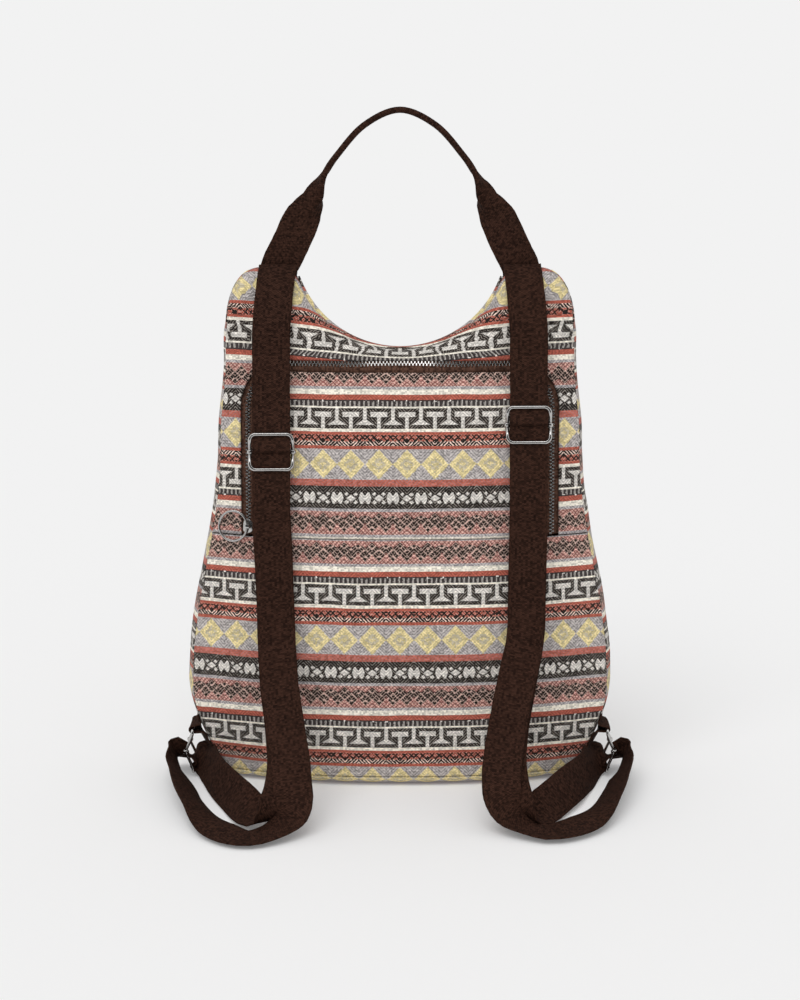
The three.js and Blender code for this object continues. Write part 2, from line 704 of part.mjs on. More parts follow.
// Stations of each strap below its straight run, as outward X, Y, Z and the across direction there: down the
// back and round the loose loop on the floor to the ring, and from the ring up again behind itself.
const strapLegs = {
  left: {
    out: [
      [102, -57.5, 190, -1, 0, 0], [100.5, -61.5, 155, -1, 0, 0], [99.5, -66, 126, -1, 0, 0],
      [97, -82, 97, -1, 0, 0], [91.5, -108, 71, -1, 0, 0], [86, -134, 50, -1, 0, 0],
      [83.5, -152, 36, -1, 0, 0], [82, -164, 23, -0.97, -0.2, 0], [86, -173, 12, -0.8, -0.6, 0],
      [101, -185, 6, -0.3, -0.95, 0], [119.5, -191, 4.5, 0.1, -1, 0], [141, -172, 5.5, 0.6, -0.8, 0],
      [160, -138, 8, 0.85, -0.4, 0.3], [176, -100, 12, 0.75, -0.3, 0.6], [187.5, -65, 15.5, 0.35, -0.1, 0.93],
    ],
    back: [
      [147, -83, 16, 0.35, -0.3, -0.88], [127, -125, 13, 0.55, -0.42, -0.72],
      [112, -147, 8.5, 0.75, -0.55, -0.25], [104, -155, 8, 0.8, -0.6, 0], [97, -156, 16, 0.9, -0.4, 0],
      [91, -148, 29, 1, -0.05, 0], [89, -131, 47, 1, 0, 0], [92.5, -103.5, 66.5, 1, 0, 0],
      [97.5, -77.5, 92.5, 1, 0, 0], [100, -62, 125, 1, 0, 0], [101, -57.8, 155, 1, 0, 0],
      [102, -53.6, 190, 1, 0, 0], [103.5, -49, 225, 1, 0, 0],
    ],
  },
  right: {
    out: [
      [103, -57.5, 190, -1, 0, 0], [102.5, -61.5, 155, -1, 0, 0], [101, -66, 126, -1, 0, 0],
      [93.5, -82, 97, -1, 0, 0], [86, -108, 71, -1, 0, 0], [80.5, -134, 50, -1, 0, 0],
      [78.5, -150, 36, -1, 0, 0], [80, -161, 22, -0.95, -0.3, 0], [88, -168, 11, -0.75, -0.65, 0],
      [103, -176, 5.5, -0.3, -0.95, 0], [118, -180, 4.5, 0.1, -1, 0], [144, -161, 6, 0.6, -0.8, 0],
      [169, -121, 9.5, 0.8, -0.4, 0.4], [185.5, -76, 14, 0.5, -0.2, 0.83],
    ],
    back: [
      [154, -62, 17, 0.3, -0.25, -0.9], [135.5, -106, 17, 0.45, -0.4, -0.8],
      [117, -132, 13, 0.6, -0.45, -0.66], [104, -143.5, 8.5, 0.75, -0.6, -0.25],
      [97, -149, 8, 0.8, -0.6, 0], [91.5, -150.5, 16, 0.9, -0.4, 0],
      [86.5, -145, 29, 1, -0.05, 0], [84, -131, 47, 1, 0, 0], [87.5, -103.5, 66.5, 1, 0, 0],
      [94.5, -77.5, 92.5, 1, 0, 0], [101.5, -62, 125, 1, 0, 0], [102.5, -57.8, 155, 1, 0, 0],
      [103, -53.6, 190, 1, 0, 0], [103.5, -49, 225, 1, 0, 0],
    ],
  },
};

// Stations of either strap through its ring, from the ring's top bar: a turn on edge outside it, a straight
// twist through its lower window, and a turn on edge again.
const ringPassage = [
  [22.1, -22, -25.3, 0, 0, 1], [22.4, -10, -25.3, 0, 0, 1], [21.5, -4, -25.3, 0, 0, 1],
  [18.8, -0.5, -25.3, 0, 0, 1], [15.6, 0, -25.3, 0, 0, 1], [13.1, 0, -25.3, 0, -0.572, 0.82],
  [10.6, 0, -25.3, 0, -0.822, 0.57], [8.1, 0, -25.3, 0, -0.957, 0.29], [5.6, 0, -25.3, 0, -1, 0],
  [3.1, 0, -25.3, 0, -0.966, -0.26], [0.6, 0, -25.3, 0, -0.888, -0.46], [-1.9, 0, -25.3, 0, -0.8, -0.6],
  [-3.6, 0, -25.3, 0, -0.6, -0.8], [-5.2, 0, -25.3, 0, -0.28, -0.96], [-6.8, 0, -25.3, 0, 0, -1],
  [-8.7, -0.6, -25.3, 0, 0, -1], [-10.1, -3, -25.3, 0, 0, -1], [-10.5, -8, -25.3, 0, 0, -1],
  [-11, -20, -25.1, 0.2, -0.1, -0.97],
];

function ringStations() {
  const bar = ringCentre();
  return ringPassage.map(([out, y, z, ...across]) => [bar.x + out, y - ringAt, bar.y + z, ...across]);
}

// The strap from its end sewn in the ear, over the back panel's top edge and down its straight run.
function strapHead() {
  const ear = earHeight;
  const layer = -(webbingThick + clearance) / 2;
  const lift = clearance + webbingThick / 2;
  const head = [
    [strapAtEar, layer, ear - 15], [strapAtEar, layer, ear - 2.5], [strapAtEar, layer - 0.4, ear + lift],
    [strapAtEar, layer - 3, ear + lift + 1.2], [strapAtEar, layer - 9, ear + lift - 0.5],
    [strapAtEar + 1, layer - 17, ear - 9],
  ];
  for (const z of [strapLineTop, strapLineTop - strapRunIn, strapLineLow + strapRunIn, strapLineLow]) {
    head.push([strapAtAdjuster, strapLine(z), z]);
  }
  return head.map(([x, y, z]) => [x, y, z, -1, 0, 0]);
}

function addStrap(name, side) {
  const { out, back } = strapLegs[name];
  const spots = [...strapHead(), ...out, ...ringStations(), ...back];
  const stations = spots.map(([x, y, z, ax, ay, az]) => ({
    centre: new THREE.Vector3(side * x, y, z),
    across: new THREE.Vector3(side * ax, ay, az).normalize(),
    width: webbingWidth,
    thick: webbingThick,
  }));
  addPiece(`shoulder_strap_${name}`, bandGeometry(smoothFrames(stations, 16)), webbing);
}

// The handle runs flat out of each ear, turns a quarter and is folded double along its grip. Each spot of a
// half is its reach and rise as shares of the whole, its quarter turn and how far it is folded.
function addHandle() {
  const layer = (webbingThick + clearance) / 2;
  const ear = lerp(earInnerHeight, earHeight, 0.5);
  const rise = handleTop - gripThick / 2 - ear;
  const half = [
    [0, 1, 1, 1], [0.293, 0.905, 1, 1], [0.515, 0.72, 1, 1], [0.646, 0.565, 0.9, 0.8],
    [0.742, 0.44, 0.5, 0.35], [0.854, 0.29, 0.1, 0], [0.975, 0.12, 0, 0], [1, 0.015, 0, 0], [1, -0.1, 0, 0],
  ];
  const right = half.map(([reach, share, turn, fold]) => ({
    x: reach * strapAtEar,
    z: ear + share * rise,
    turn,
    fold,
  }));
  const left = right.slice(1).reverse().map((spot) => ({ ...spot, x: -spot.x }));
  const spots = [...left, ...right];
  const stations = spots.map((spot, k) => {
    const before = spots[Math.max(k - 1, 0)];
    const after = spots[Math.min(k + 1, spots.length - 1)];
    const flat = new THREE.Vector3(before.z - after.z, 0, after.x - before.x).normalize();
    flat.multiplyScalar(Math.sign(spot.x) * Math.cos((spot.turn * Math.PI) / 2));
    return {
      centre: new THREE.Vector3(spot.x, lerp(layer, 0, spot.turn), spot.z),
      across: flat.add(new THREE.Vector3(0, Math.sin((spot.turn * Math.PI) / 2), 0)),
      width: lerp(webbingWidth, gripWidth, spot.fold),
      thick: lerp(webbingThick, gripThick, spot.fold),
    };
  });
  addPiece("carry_handle", bandGeometry(smoothFrames(stations, 9)), webbing);
}

addPanels();
addGussets();
addNecklineStrip();
addBase();
addChain();
addZipSlider();
addHandle();
for (const [name, side, height] of [["left", -1, adjusterLeftAt], ["right", 1, adjusterRightAt]]) {
  addStrap(name, side);
  addAdjuster(name, side, height);
  addRing(name, side);
}

export default bag;
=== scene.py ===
"""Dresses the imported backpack: woven panels, zip, webbing, wire fittings and a plain studio.

All sizes are in millimetres until a mesh is made, and the finished meshes are in metres.
"""

import logging
import math
from dataclasses import dataclass
from enum import Enum
from typing import Callable, Iterable, Sequence

import bmesh
import bpy
from mathutils import Matrix, Vector, noise


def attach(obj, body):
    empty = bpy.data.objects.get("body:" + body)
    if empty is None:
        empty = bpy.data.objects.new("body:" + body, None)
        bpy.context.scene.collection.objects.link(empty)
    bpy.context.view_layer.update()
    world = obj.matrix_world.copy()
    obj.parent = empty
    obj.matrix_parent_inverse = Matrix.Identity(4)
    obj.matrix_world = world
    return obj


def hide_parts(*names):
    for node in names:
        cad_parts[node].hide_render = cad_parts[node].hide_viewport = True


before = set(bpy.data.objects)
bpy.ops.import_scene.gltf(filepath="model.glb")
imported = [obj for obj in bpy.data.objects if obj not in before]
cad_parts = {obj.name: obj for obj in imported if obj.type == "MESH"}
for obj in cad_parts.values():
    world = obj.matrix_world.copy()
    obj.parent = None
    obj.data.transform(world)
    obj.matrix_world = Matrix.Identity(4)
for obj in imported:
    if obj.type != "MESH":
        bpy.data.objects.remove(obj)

LOG = logging.getLogger("backpack")
MM = 0.001
CLOTH_MAP = "cloth"
CUT_ANGLE = 50
Cloth = tuple[float, float]
Colour = tuple[float, float, float]
Spot = tuple[Vector, Cloth]
Rule = Callable[[float, float], Spot]
BMesh = bmesh.types.BMesh
Piece = bpy.types.Object
Material = bpy.types.Material
Socket = bpy.types.NodeSocket


class Face(Enum):
    """The two big faces of the bag, by the sign of their depth."""

    BACK = -1
    FRONT = 1


class Side(Enum):
    """The two sides of the bag, by the sign of X."""

    LEFT = -1
    RIGHT = 1

    @property
    def word(self) -> str:
        """The side's name as the solids use it."""
        return self.name.lower()

    def mirror(self, stations: Iterable[Sequence[float]]) -> list[tuple[float, ...]]:
        """Stations given for the right side, on this side."""
        return [(self.value * x, y, z, self.value * ax, ay, az) for x, y, z, ax, ay, az in stations]


class Cut(Enum):
    """How a panel was laid on the cloth: pattern upright or turned upside down."""

    UPRIGHT = -1
    TURNED = 1


def lerp(start: float, end: float, share: float) -> float:
    """A number a share of the way from start to end."""
    return start + (end - start) * share


def clamp(value: float, low: float = 0.0, high: float = 1.0) -> float:
    """The value kept between low and high."""
    return max(low, min(high, value))


def ease(share: float) -> float:
    """A cosine step from 0 to 1."""
    return 0.5 - 0.5 * math.cos(math.pi * clamp(share))


def crowd(share: float, strength: float = 0.75) -> float:
    """Shares from 0 to 1 drawn closer together near both ends."""
    return lerp(share, ease(share), strength)


def dip(distance: float, width: float, depth: float) -> float:
    """Depth below the face, at a distance from a seam, of cloth whose rounded edge has a width and depth."""
    away = 1.0 - clamp(distance / width)
    return depth * (1.0 - math.sqrt(1.0 - away * away))


@dataclass(frozen=True)
class BodyForm:
    """The sewn shape of the bag: its outline on the seams and its depth."""

    base_half_width: float = 146.0
    belly_half_width: float = 172.0
    belly_height: float = 80.0
    waist_half_width: float = 147.0
    waist_height: float = 280.0
    shoulder_half_width: float = 142.0
    shoulder_height: float = 350.0
    neckline_height: float = 355.0
    ear_height: float = 421.0
    ear_inner_height: float = 414.5
    ear_inner: float = 83.5
    ear_outer: float = 114.5
    ear_corner_drop: float = 45.0
    ear_half_gap: float = 2.35
    gusset_half_depth: float = 34.0
    gusset_top_half_depth: float = 8.0
    gusset_taper: float = 1.6
    crown_depth: float = 30.0
    crown_height: float = 130.0
    crown_reach: float = 330.0
    crown_power: float = 2.4
    roll_ratio: float = 1.1
    neckline_half_gap: float = 8.0
    floor: float = 8.3
    seam: float = 206.0
    fold_depth: float = 0.9
    fold_broad: tuple[float, float, float] = (62.0, 38.0, 7.0)
    fold_fine: tuple[float, float, float] = (24.0, 17.0, 3.0)
    fold_fine_share: float = 0.45
    fold_fade: float = 30.0

    @property
    def neckline_radius(self) -> float:
        """Radius of the neckline arc through both ears."""
        fall = self.ear_inner_height - self.neckline_height
        return (self.ear_inner**2 + fall**2) / (2 * fall)

    def side_half_width(self, z: float) -> float:
        """Half-width of the body on its side seam at a height."""
        if z < self.belly_height:
            rise = clamp((z - self.floor) / (self.belly_height - self.floor))
            return lerp(self.base_half_width, self.belly_half_width, math.sin(rise * math.pi / 2))
        if z < self.waist_height:
            climb = ease((z - self.belly_height) / (self.waist_height - self.belly_height))
            return lerp(self.belly_half_width, self.waist_half_width, climb)
        climb = ease((z - self.waist_height) / (self.shoulder_height - self.waist_height))
        return lerp(self.waist_half_width, self.shoulder_half_width, climb)

    def top_height(self, x: float) -> float:
        """Height of the top outline: neckline arc, sloped ear top and the ear's round corner."""
        reach = min(abs(x), self.shoulder_half_width)
        if reach < self.ear_inner:
            radius = self.neckline_radius
            return self.neckline_height + radius - math.sqrt(radius**2 - reach**2)
        if reach < self.ear_outer:
            share = (reach - self.ear_inner) / (self.ear_outer - self.ear_inner)
            return lerp(self.ear_inner_height, self.ear_height, share)
        turn = clamp((reach - self.ear_outer) / (self.shoulder_half_width - self.ear_outer))
        return self.ear_height - self.ear_corner_drop * (1.0 - math.sqrt(1.0 - turn**2))

    def half_depth(self, x: float, z: float) -> float:
        """Half-depth of the body: gusset and crown, rolled in towards the top edge."""
        taper = clamp(z / self.ear_height) ** self.gusset_taper
        side = lerp(self.gusset_half_depth, self.gusset_top_half_depth, taper)
        swell = max(0.0, 1.0 - ((z - self.crown_height) / self.crown_reach) ** 2)
        spread = 1.0 - min(abs(x) / self.side_half_width(z), 1.0) ** self.crown_power
        middle = ease((self.ear_inner - abs(x)) / (self.ear_inner / 2))
        edge = lerp(self.ear_half_gap, self.neckline_half_gap, middle)
        full = side + self.crown_depth * swell * spread - edge
        drop = clamp((self.top_height(x) - z) / (self.roll_ratio * full))
        return edge + full * math.sqrt(1.0 - (1.0 - drop) ** 2)

    def normal(self, face: Face, x: float, z: float) -> Vector:
        """Outward direction of a face at a point."""
        slope_x = (self.half_depth(x + 1, z) - self.half_depth(x - 1, z)) / 2
        slope_z = (self.half_depth(x, z) - self.half_depth(x, z - 0.5)) / 0.5
        return Vector((-slope_x, face.value, -slope_z)).normalized()

    def folds(self, face: Face, x: float, z: float) -> float:
        """Height of the soft, shallow folds that the standing bag has, fading out at its edges."""
        edge = min(self.side_half_width(z) - abs(x), z - self.floor, self.top_height(x) - z)
        broad, fine = (
            noise.noise(Vector((x / wide, z / tall, seed * face.value)))
            for wide, tall, seed in (self.fold_broad, self.fold_fine)
        )
        return self.fold_depth * (broad + self.fold_fine_share * fine) * clamp(edge / self.fold_fade)

    def point(self, face: Face, x: float, z: float, lift: float = 0.0) -> Vector:
        """A point on a face, lifted off it along its outward direction; a negative lift is inside."""
        spot = Vector((x, face.value * self.half_depth(x, z), z))
        return spot + self.normal(face, x, z) * (lift + self.folds(face, x, z))

    def across(self, x: float, z: float) -> float:
        """Length of cloth from the middle of a face out to x at a height."""
        steps = 8
        total = 0.0
        for k in range(steps):
            near = self.half_depth(x * k / steps, z)
            far = self.half_depth(x * (k + 1) / steps, z)
            total += math.hypot(x / steps, far - near)
        return math.copysign(total, x)

    def up(self, x: float, z: float) -> float:
        """Length of cloth from the cross seam up to a height, in the column at x."""
        steps = 12
        total = 0.0
        for k in range(steps):
            low = lerp(self.seam, z, k / steps)
            high = lerp(self.seam, z, (k + 1) / steps)
            total += math.hypot(high - low, self.half_depth(x, high) - self.half_depth(x, low))
        return math.copysign(total, z - self.seam)


FORM = BodyForm()


def linear(red: int, green: int, blue: int) -> Colour:
    """A display colour from 0 to 255 as linear light."""

    def channel(value: int) -> float:
        """One channel as linear light."""
        share = value / 255
        return share / 12.92 if share <= 0.04045 else ((share + 0.055) / 1.055) ** 2.4

    return channel(red), channel(green), channel(blue)


class Field:
    """A number that varies over a surface: a node output with arithmetic."""

    def __init__(self, tree: bpy.types.NodeTree, socket: Socket) -> None:
        """Wraps a node output of a tree."""
        self.tree = tree
        self.socket = socket

    def _math(self, operation: str, *others: "Field | float") -> "Field":
        """Makes one arithmetic node.

        Args:
            operation: Blender's name of the operation.
            others: Further operands after this one.

        Returns:
            The result as a field.
        """
        node = self.tree.nodes.new("ShaderNodeMath")
        node.operation = operation
        for slot, value in zip(node.inputs, (self, *others)):
            if isinstance(value, Field):
                self.tree.links.new(value.socket, slot)
            else:
                slot.default_value = value
        return Field(self.tree, node.outputs[0])

    def __add__(self, other: "Field | float") -> "Field":
        """Sum."""
        return self._math("ADD", other)

    def __sub__(self, other: "Field | float") -> "Field":
        """Difference."""
        return self._math("SUBTRACT", other)

    def __mul__(self, other: "Field | float") -> "Field":
        """Product, which is also the overlap of two masks."""
        return self._math("MULTIPLY", other)

    def __truediv__(self, other: "Field | float") -> "Field":
        """Quotient."""
        return self._math("DIVIDE", other)

    def __mod__(self, other: "Field | float") -> "Field":
        """Remainder that never turns negative."""
        return self._math("FLOORED_MODULO", other)

    def __lt__(self, other: "Field | float") -> "Field":
        """Mask of where this is below the other."""
        return self._math("LESS_THAN", other)

    def __gt__(self, other: "Field | float") -> "Field":
        """Mask of where this is above the other."""
        return self._math("GREATER_THAN", other)

    def __abs__(self) -> "Field":
        """Distance from zero."""
        return self._math("ABSOLUTE")

    def __or__(self, other: "Field | float") -> "Field":
        """Union of two masks."""
        return self._math("MAXIMUM", other)

    def floor(self) -> "Field":
        """Whole part."""
        return self._math("FLOOR")

    def sine(self) -> "Field":
        """Sine of the field in radians."""
        return self._math("SINE")

    def outside(self) -> "Field":
        """The opposite of a mask."""
        return self._math("MULTIPLY_ADD", -1.0, 1.0)

    def between(self, low: float, high: float) -> "Field":
        """Mask of where this lies between two numbers."""
        return (self > low) * (self < high)

    def blend(self, off: "Colour | Socket", on: "Colour | Socket") -> Socket:
        """Mixes two colours by this field.

        Args:
            off: Colour where the field is 0.
            on: Colour where the field is 1.

        Returns:
            The mixed colour's socket.
        """
        node = self.tree.nodes.new("ShaderNodeMix")
        node.data_type = "RGBA"
        self.tree.links.new(self.socket, node.inputs[0])
        for slot, value in ((node.inputs[6], off), (node.inputs[7], on)):
            if isinstance(value, tuple):
                slot.default_value = (*value, 1.0)
            else:
                self.tree.links.new(value, slot)
        return node.outputs[2]


class Sheet:
    """One material under construction: its tree, its shader and the cloth coordinates."""

    SHEEN_ROUGHNESS = 0.6

    def __init__(
        self, name: str, roughness: float, metallic: float = 0.0, sheen: float = 0.0, specular: float = 0.5
    ) -> None:
        """Starts a material with its plain shader values.

        Args:
            name: Name of the finish.
            roughness: Roughness of the surface.
            metallic: 1 for metal.
            sheen: Soft edge light of a cloth.
            specular: Strength of its plain reflection.
        """
        self.material = bpy.data.materials.new(name)
        self.material.use_nodes = True
        self.tree = self.material.node_tree
        self.shader = self.tree.nodes["Principled BSDF"]
        values = {
            "Roughness": roughness, "Metallic": metallic, "Sheen Weight": sheen,
            "Sheen Roughness": self.SHEEN_ROUGHNESS, "Specular IOR Level": specular,
        }
        for slot, value in values.items():
            self.shader.inputs[slot].default_value = value

    def cloth(self) -> tuple[Field, Field]:
        """The cloth coordinates across and along, in millimetres."""
        source = self.tree.nodes.new("ShaderNodeUVMap")
        source.uv_map = CLOTH_MAP
        split = self.tree.nodes.new("ShaderNodeSeparateXYZ")
        self.tree.links.new(source.outputs[0], split.inputs[0])
        return Field(self.tree, split.outputs[0]), Field(self.tree, split.outputs[1])

    def noise(self, scale: float, detail: float = 2.0) -> Field:
        """Smooth noise on the object's own coordinates.

        Args:
            scale: Features per metre.
            detail: Octaves of finer noise.

        Returns:
            The noise from 0 to 1.
        """
        place = self.tree.nodes.new("ShaderNodeTexCoord")
        grain = self.tree.nodes.new("ShaderNodeTexNoise")
        grain.inputs["Scale"].default_value = scale
        grain.inputs["Detail"].default_value = detail
        self.tree.links.new(place.outputs["Object"], grain.inputs["Vector"])
        return Field(self.tree, grain.outputs[0])

    def speckle(self, u: Field, v: Field) -> Field:
        """A random number for each unit cell of the coordinates, from 0 to 1."""
        spot = self.tree.nodes.new("ShaderNodeCombineXYZ")
        self.tree.links.new(u.floor().socket, spot.inputs[0])
        self.tree.links.new(v.floor().socket, spot.inputs[1])
        chance = self.tree.nodes.new("ShaderNodeTexWhiteNoise")
        chance.noise_dimensions = "2D"
        self.tree.links.new(spot.outputs[0], chance.inputs["Vector"])
        return Field(self.tree, chance.outputs["Value"])

    def tint(self, colour: Socket, strength: Field) -> Socket:
        """Multiplies a colour by a brightness field."""
        node = self.tree.nodes.new("ShaderNodeVectorMath")
        node.operation = "SCALE"
        self.tree.links.new(colour, node.inputs[0])
        self.tree.links.new(strength.socket, node.inputs["Scale"])
        return node.outputs[0]

    def paint(self, colour: Socket) -> None:
        """Sends a colour to the shader."""
        self.tree.links.new(colour, self.shader.inputs["Base Color"])

    def roughen(self, field: Field) -> None:
        """Sends a field to the shader's roughness."""
        self.tree.links.new(field.socket, self.shader.inputs["Roughness"])

    def emboss(self, height: Field, depth: float, strength: float) -> None:
        """Raises the surface by a height field.

        Args:
            height: Height from 0 to 1.
            depth: Real height of the relief in millimetres.
            strength: Share of the relief that shows.
        """
        bump = self.tree.nodes.new("ShaderNodeBump")
        bump.inputs["Distance"].default_value = depth * MM
        bump.inputs["Strength"].default_value = strength
        self.tree.links.new(height.socket, bump.inputs["Height"])
        self.tree.links.new(bump.outputs[0], self.shader.inputs["Normal"])


@dataclass(frozen=True)
class Loom:
    """The fields that every band of the cloth is drawn from, in millimetres of cloth."""

    t: Field
    u: Field
    x: Field
    back: Field
    grain: Field
    ragged: float = 0.36

    def hatch(self, phase: Field, period: float, share: float) -> Field:
        """Mask of ragged woven lines, each a share of the period wide, where phase runs across them."""
        return ((phase / period) % 1.0) < (self.grain * self.ragged + (share - self.ragged / 2))

    def rising(self, period: float, share: float) -> Field:
        """Mirrored diagonal lines that meet in a V under a motif's middle."""
        return self.hatch(self.x + self.t, period, share)

    def falling(self, period: float, share: float) -> Field:
        """Mirrored diagonal lines that meet in a point over a motif's middle."""
        return self.hatch(self.x - self.t, period, share)


@dataclass(frozen=True)
class WovenFabric:
    """The banded jacquard of the panels, drawn in cloth coordinates: motif pitch across, bands along."""

    repeat: float = 119.2
    pitch: float = 22.55
    stitch: float = 1.5
    line: float = 2.7
    dark_line: float = 2.6
    cream: Colour = linear(232, 225, 211)
    chalk: Colour = linear(222, 217, 210)
    ash: Colour = linear(176, 170, 164)
    black: Colour = linear(40, 34, 31)
    soot: Colour = linear(132, 125, 118)
    grey: Colour = linear(146, 143, 146)
    slate: Colour = linear(152, 146, 145)
    mist: Colour = linear(188, 181, 178)
    terracotta: Colour = linear(186, 100, 83)
    brick: Colour = linear(152, 82, 69)
    rose: Colour = linear(168, 112, 104)
    blush: Colour = linear(212, 176, 163)
    maroon: Colour = linear(126, 80, 75)
    straw: Colour = linear(230, 213, 158)
    sand: Colour = linear(209, 193, 146)
    fawn: Colour = linear(190, 162, 150)
    pewter: Colour = linear(166, 160, 154)
    coal: Colour = linear(62, 56, 55)
    salmon: Colour = linear(205, 150, 136)
    petal: Colour = linear(226, 200, 186)
    hemp: Colour = linear(184, 174, 150)
    zigzag_end: float = 18.3
    grey_band: Cloth = (18.3, 20.6)
    red_bands: tuple[Cloth, Cloth] = ((24.8, 29.0), (54.9, 68.7))
    comb_band: Cloth = (29.0, 34.3)
    key_band: Cloth = (35.7, 52.3)
    fleck_band: Cloth = (57.0, 62.4)
    dart_band: Cloth = (57.3, 62.4)
    dense_band: Cloth = (62.4, 66.2)
    diamond_band: Cloth = (68.7, 93.2)
    rose_band: Cloth = (93.2, 98.6)
    figure_band: Cloth = (98.6, 116.8)
    diamond_middle: float = 80.95
    figure_middle: float = 108.2

    def material(self) -> Material:
        """The finished cloth."""
        sheet = Sheet("woven_fabric", roughness=0.95, sheen=0.05, specular=0.1)
        u, v = sheet.cloth()
        v = v + sheet.noise(24.0) * 1.6 - 0.8
        t = v % self.repeat
        x = abs((u / self.pitch + 0.5) % 1.0 - 0.5) * self.pitch
        grain = sheet.speckle(u / self.stitch, v / (self.stitch * 0.8))
        loom = Loom(t, u, x, x * -1.0 + self.pitch / 2, grain)
        colour = self.stripes(loom)
        for band in (self.zigzag, self.comb, self.key, self.feather, self.diamonds, self.figures):
            colour = band(loom, colour)
        slub = sheet.speckle(u / 5.0, v / 0.9)
        yarn = grain * 0.62 + slub * 0.18 + sheet.noise(30.0) * 0.16 + 0.54
        sheet.paint(sheet.tint(colour, yarn))
        rib = ((u + v) * (math.tau / self.stitch)).sine() * 0.4 + grain * 0.8
        sheet.emboss(rib + sheet.noise(1500.0) * 0.4, depth=0.25, strength=0.6)
        return sheet.material

    def stripes(self, loom: Loom) -> Socket:
        """The plain stripes of the repeat: grey, terracotta, and cream elsewhere."""
        t = loom.t
        lines = loom.rising(self.line, 0.5)
        greys = t.between(*self.grey_band) | (t > self.figure_band[1])
        colour = greys.blend(self.cream, lines.blend(self.grey, self.mist))
        reds = t.between(*self.red_bands[0]) | t.between(*self.red_bands[1])
        colour = reds.blend(colour, lines.blend(self.terracotta, self.brick))
        return t.between(*self.rose_band).blend(colour, lines.blend(self.terracotta, self.rose))

    def zigzag(self, loom: Loom, below: Socket) -> Socket:
        """A hatched dark zigzag with tall and short peaks on a dappled pink ground."""
        share = loom.x / (self.pitch / 2)
        wave = abs(share - 0.5) * 2.0
        upper = wave * (share * 1.9 - 4.6) + 5.4
        lower = wave * (share * -2.3 - 5.1) + 16.6
        inside = (loom.t > upper) * (loom.t < lower)
        ground = loom.rising(self.line, 0.5).blend(self.rose, self.blush)
        ground = loom.falling(self.line * 1.4, 0.3).blend(ground, self.maroon)
        strokes = loom.hatch(loom.t + wave * (self.pitch / 4), 2.75, 0.8)
        gaps = loom.hatch(loom.t - wave * (self.pitch / 4), 5.5, 0.2)
        hatched = (strokes * gaps.outside()).blend(self.fawn, self.black)
        return (loom.t < self.zigzag_end).blend(below, inside.blend(ground, hatched))

    def comb(self, loom: Loom, below: Socket) -> Socket:
        """A row of short upright dashes hung from a dark line with pale dots."""
        t = loom.t
        dash = loom.hatch(loom.u, self.pitch / 6, 0.62) | (t < 30.1)
        dots = loom.hatch(loom.u + 0.8, self.pitch / 2, 0.05) * (t < 30.4)
        teeth = dash.blend(self.pewter, self.coal)
        return t.between(*self.comb_band).blend(below, dots.blend(teeth, self.chalk))

    def key(self, loom: Loom, below: Socket) -> Socket:
        """Interlocking upright and hanging pale T shapes on black."""
        ragged = loom.grain * 0.7 - 0.35
        x, back = loom.x + ragged, loom.back + ragged
        y = loom.t - self.key_band[0]
        head = (x < 6.7) * y.between(3.0, 7.0)
        upright = (x < 1.5) * (y > 6.0) | head
        foot = (back < (y * 1.5 - 12.6)) * y.between(9.2, 13.4)
        hanging = (back < 1.5) * (y < 9.8) | foot
        shapes = self.inlay(loom, upright | hanging, ground=0.3, pale=0.3)
        return loom.t.between(*self.key_band).blend(below, shapes)

    def inlay(self, loom: Loom, shapes: Field, ground: float, pale: float) -> Socket:
        """Pale shapes on black, each with its share of stray lines."""
        dark = loom.rising(self.dark_line, ground).blend(self.black, self.soot)
        return shapes.blend(dark, loom.falling(self.line, pale).blend(self.chalk, self.ash))

    def feather(self, loom: Loom, below: Socket) -> Socket:
        """Dark darts over a dense dark row with pale slanting strokes."""
        t = loom.t
        darts = loom.rising(self.pitch / 4, 0.34) | loom.falling(self.pitch / 4, 0.34)
        flecks = loom.falling(self.line, 0.34) * t.between(*self.fleck_band)
        colour = flecks.blend(below, self.salmon)
        colour = (darts * t.between(*self.dart_band)).blend(colour, self.black)
        dense = loom.rising(2.8, 0.36).blend(self.black, self.petal)
        return t.between(*self.dense_band).blend(colour, dense)

    def diamonds(self, loom: Loom, below: Socket) -> Socket:
        """A row of straw-coloured lozenges with a grey cross inside, on a grey twill ground."""
        x = loom.x
        y = abs(loom.t - self.diamond_middle)
        reach = x / 11.1 + y / 11.9 + loom.grain * 0.1
        cross = reach.between(0.2, 0.62) * (loom.rising(5.2, 0.5) | loom.falling(5.2, 0.5))
        straw = loom.rising(self.line, 0.42).blend(self.straw, self.sand)
        lozenge = (cross * (loom.grain > 0.2)).blend(straw, self.hemp)
        ground = loom.falling(self.line, 0.5).blend(self.slate, self.mist)
        return loom.t.between(*self.diamond_band).blend(below, (reach < 1.05).blend(ground, lozenge))

    def figures(self, loom: Loom, below: Socket) -> Socket:
        """Pale lozenges with four buds and pale bows in turn, between hatched black edges."""
        x, back = loom.x + (loom.grain * 0.8 - 0.4), loom.back
        y = abs(loom.t - self.figure_middle)
        buds = (abs(x - 3.7) + abs(y - 3.3)) < 1.8
        lozenge = (x / 3.9 + y / 2.9) < 1.0
        bows = (back < (y * -0.35 + 5.2)) * (back < ((y - 1.7) * 0.75)).outside()
        shapes = self.inlay(loom, (buds | lozenge | bows) * (y < 4.7), ground=0.26, pale=0.28)
        return loom.t.between(*self.figure_band).blend(below, shapes)


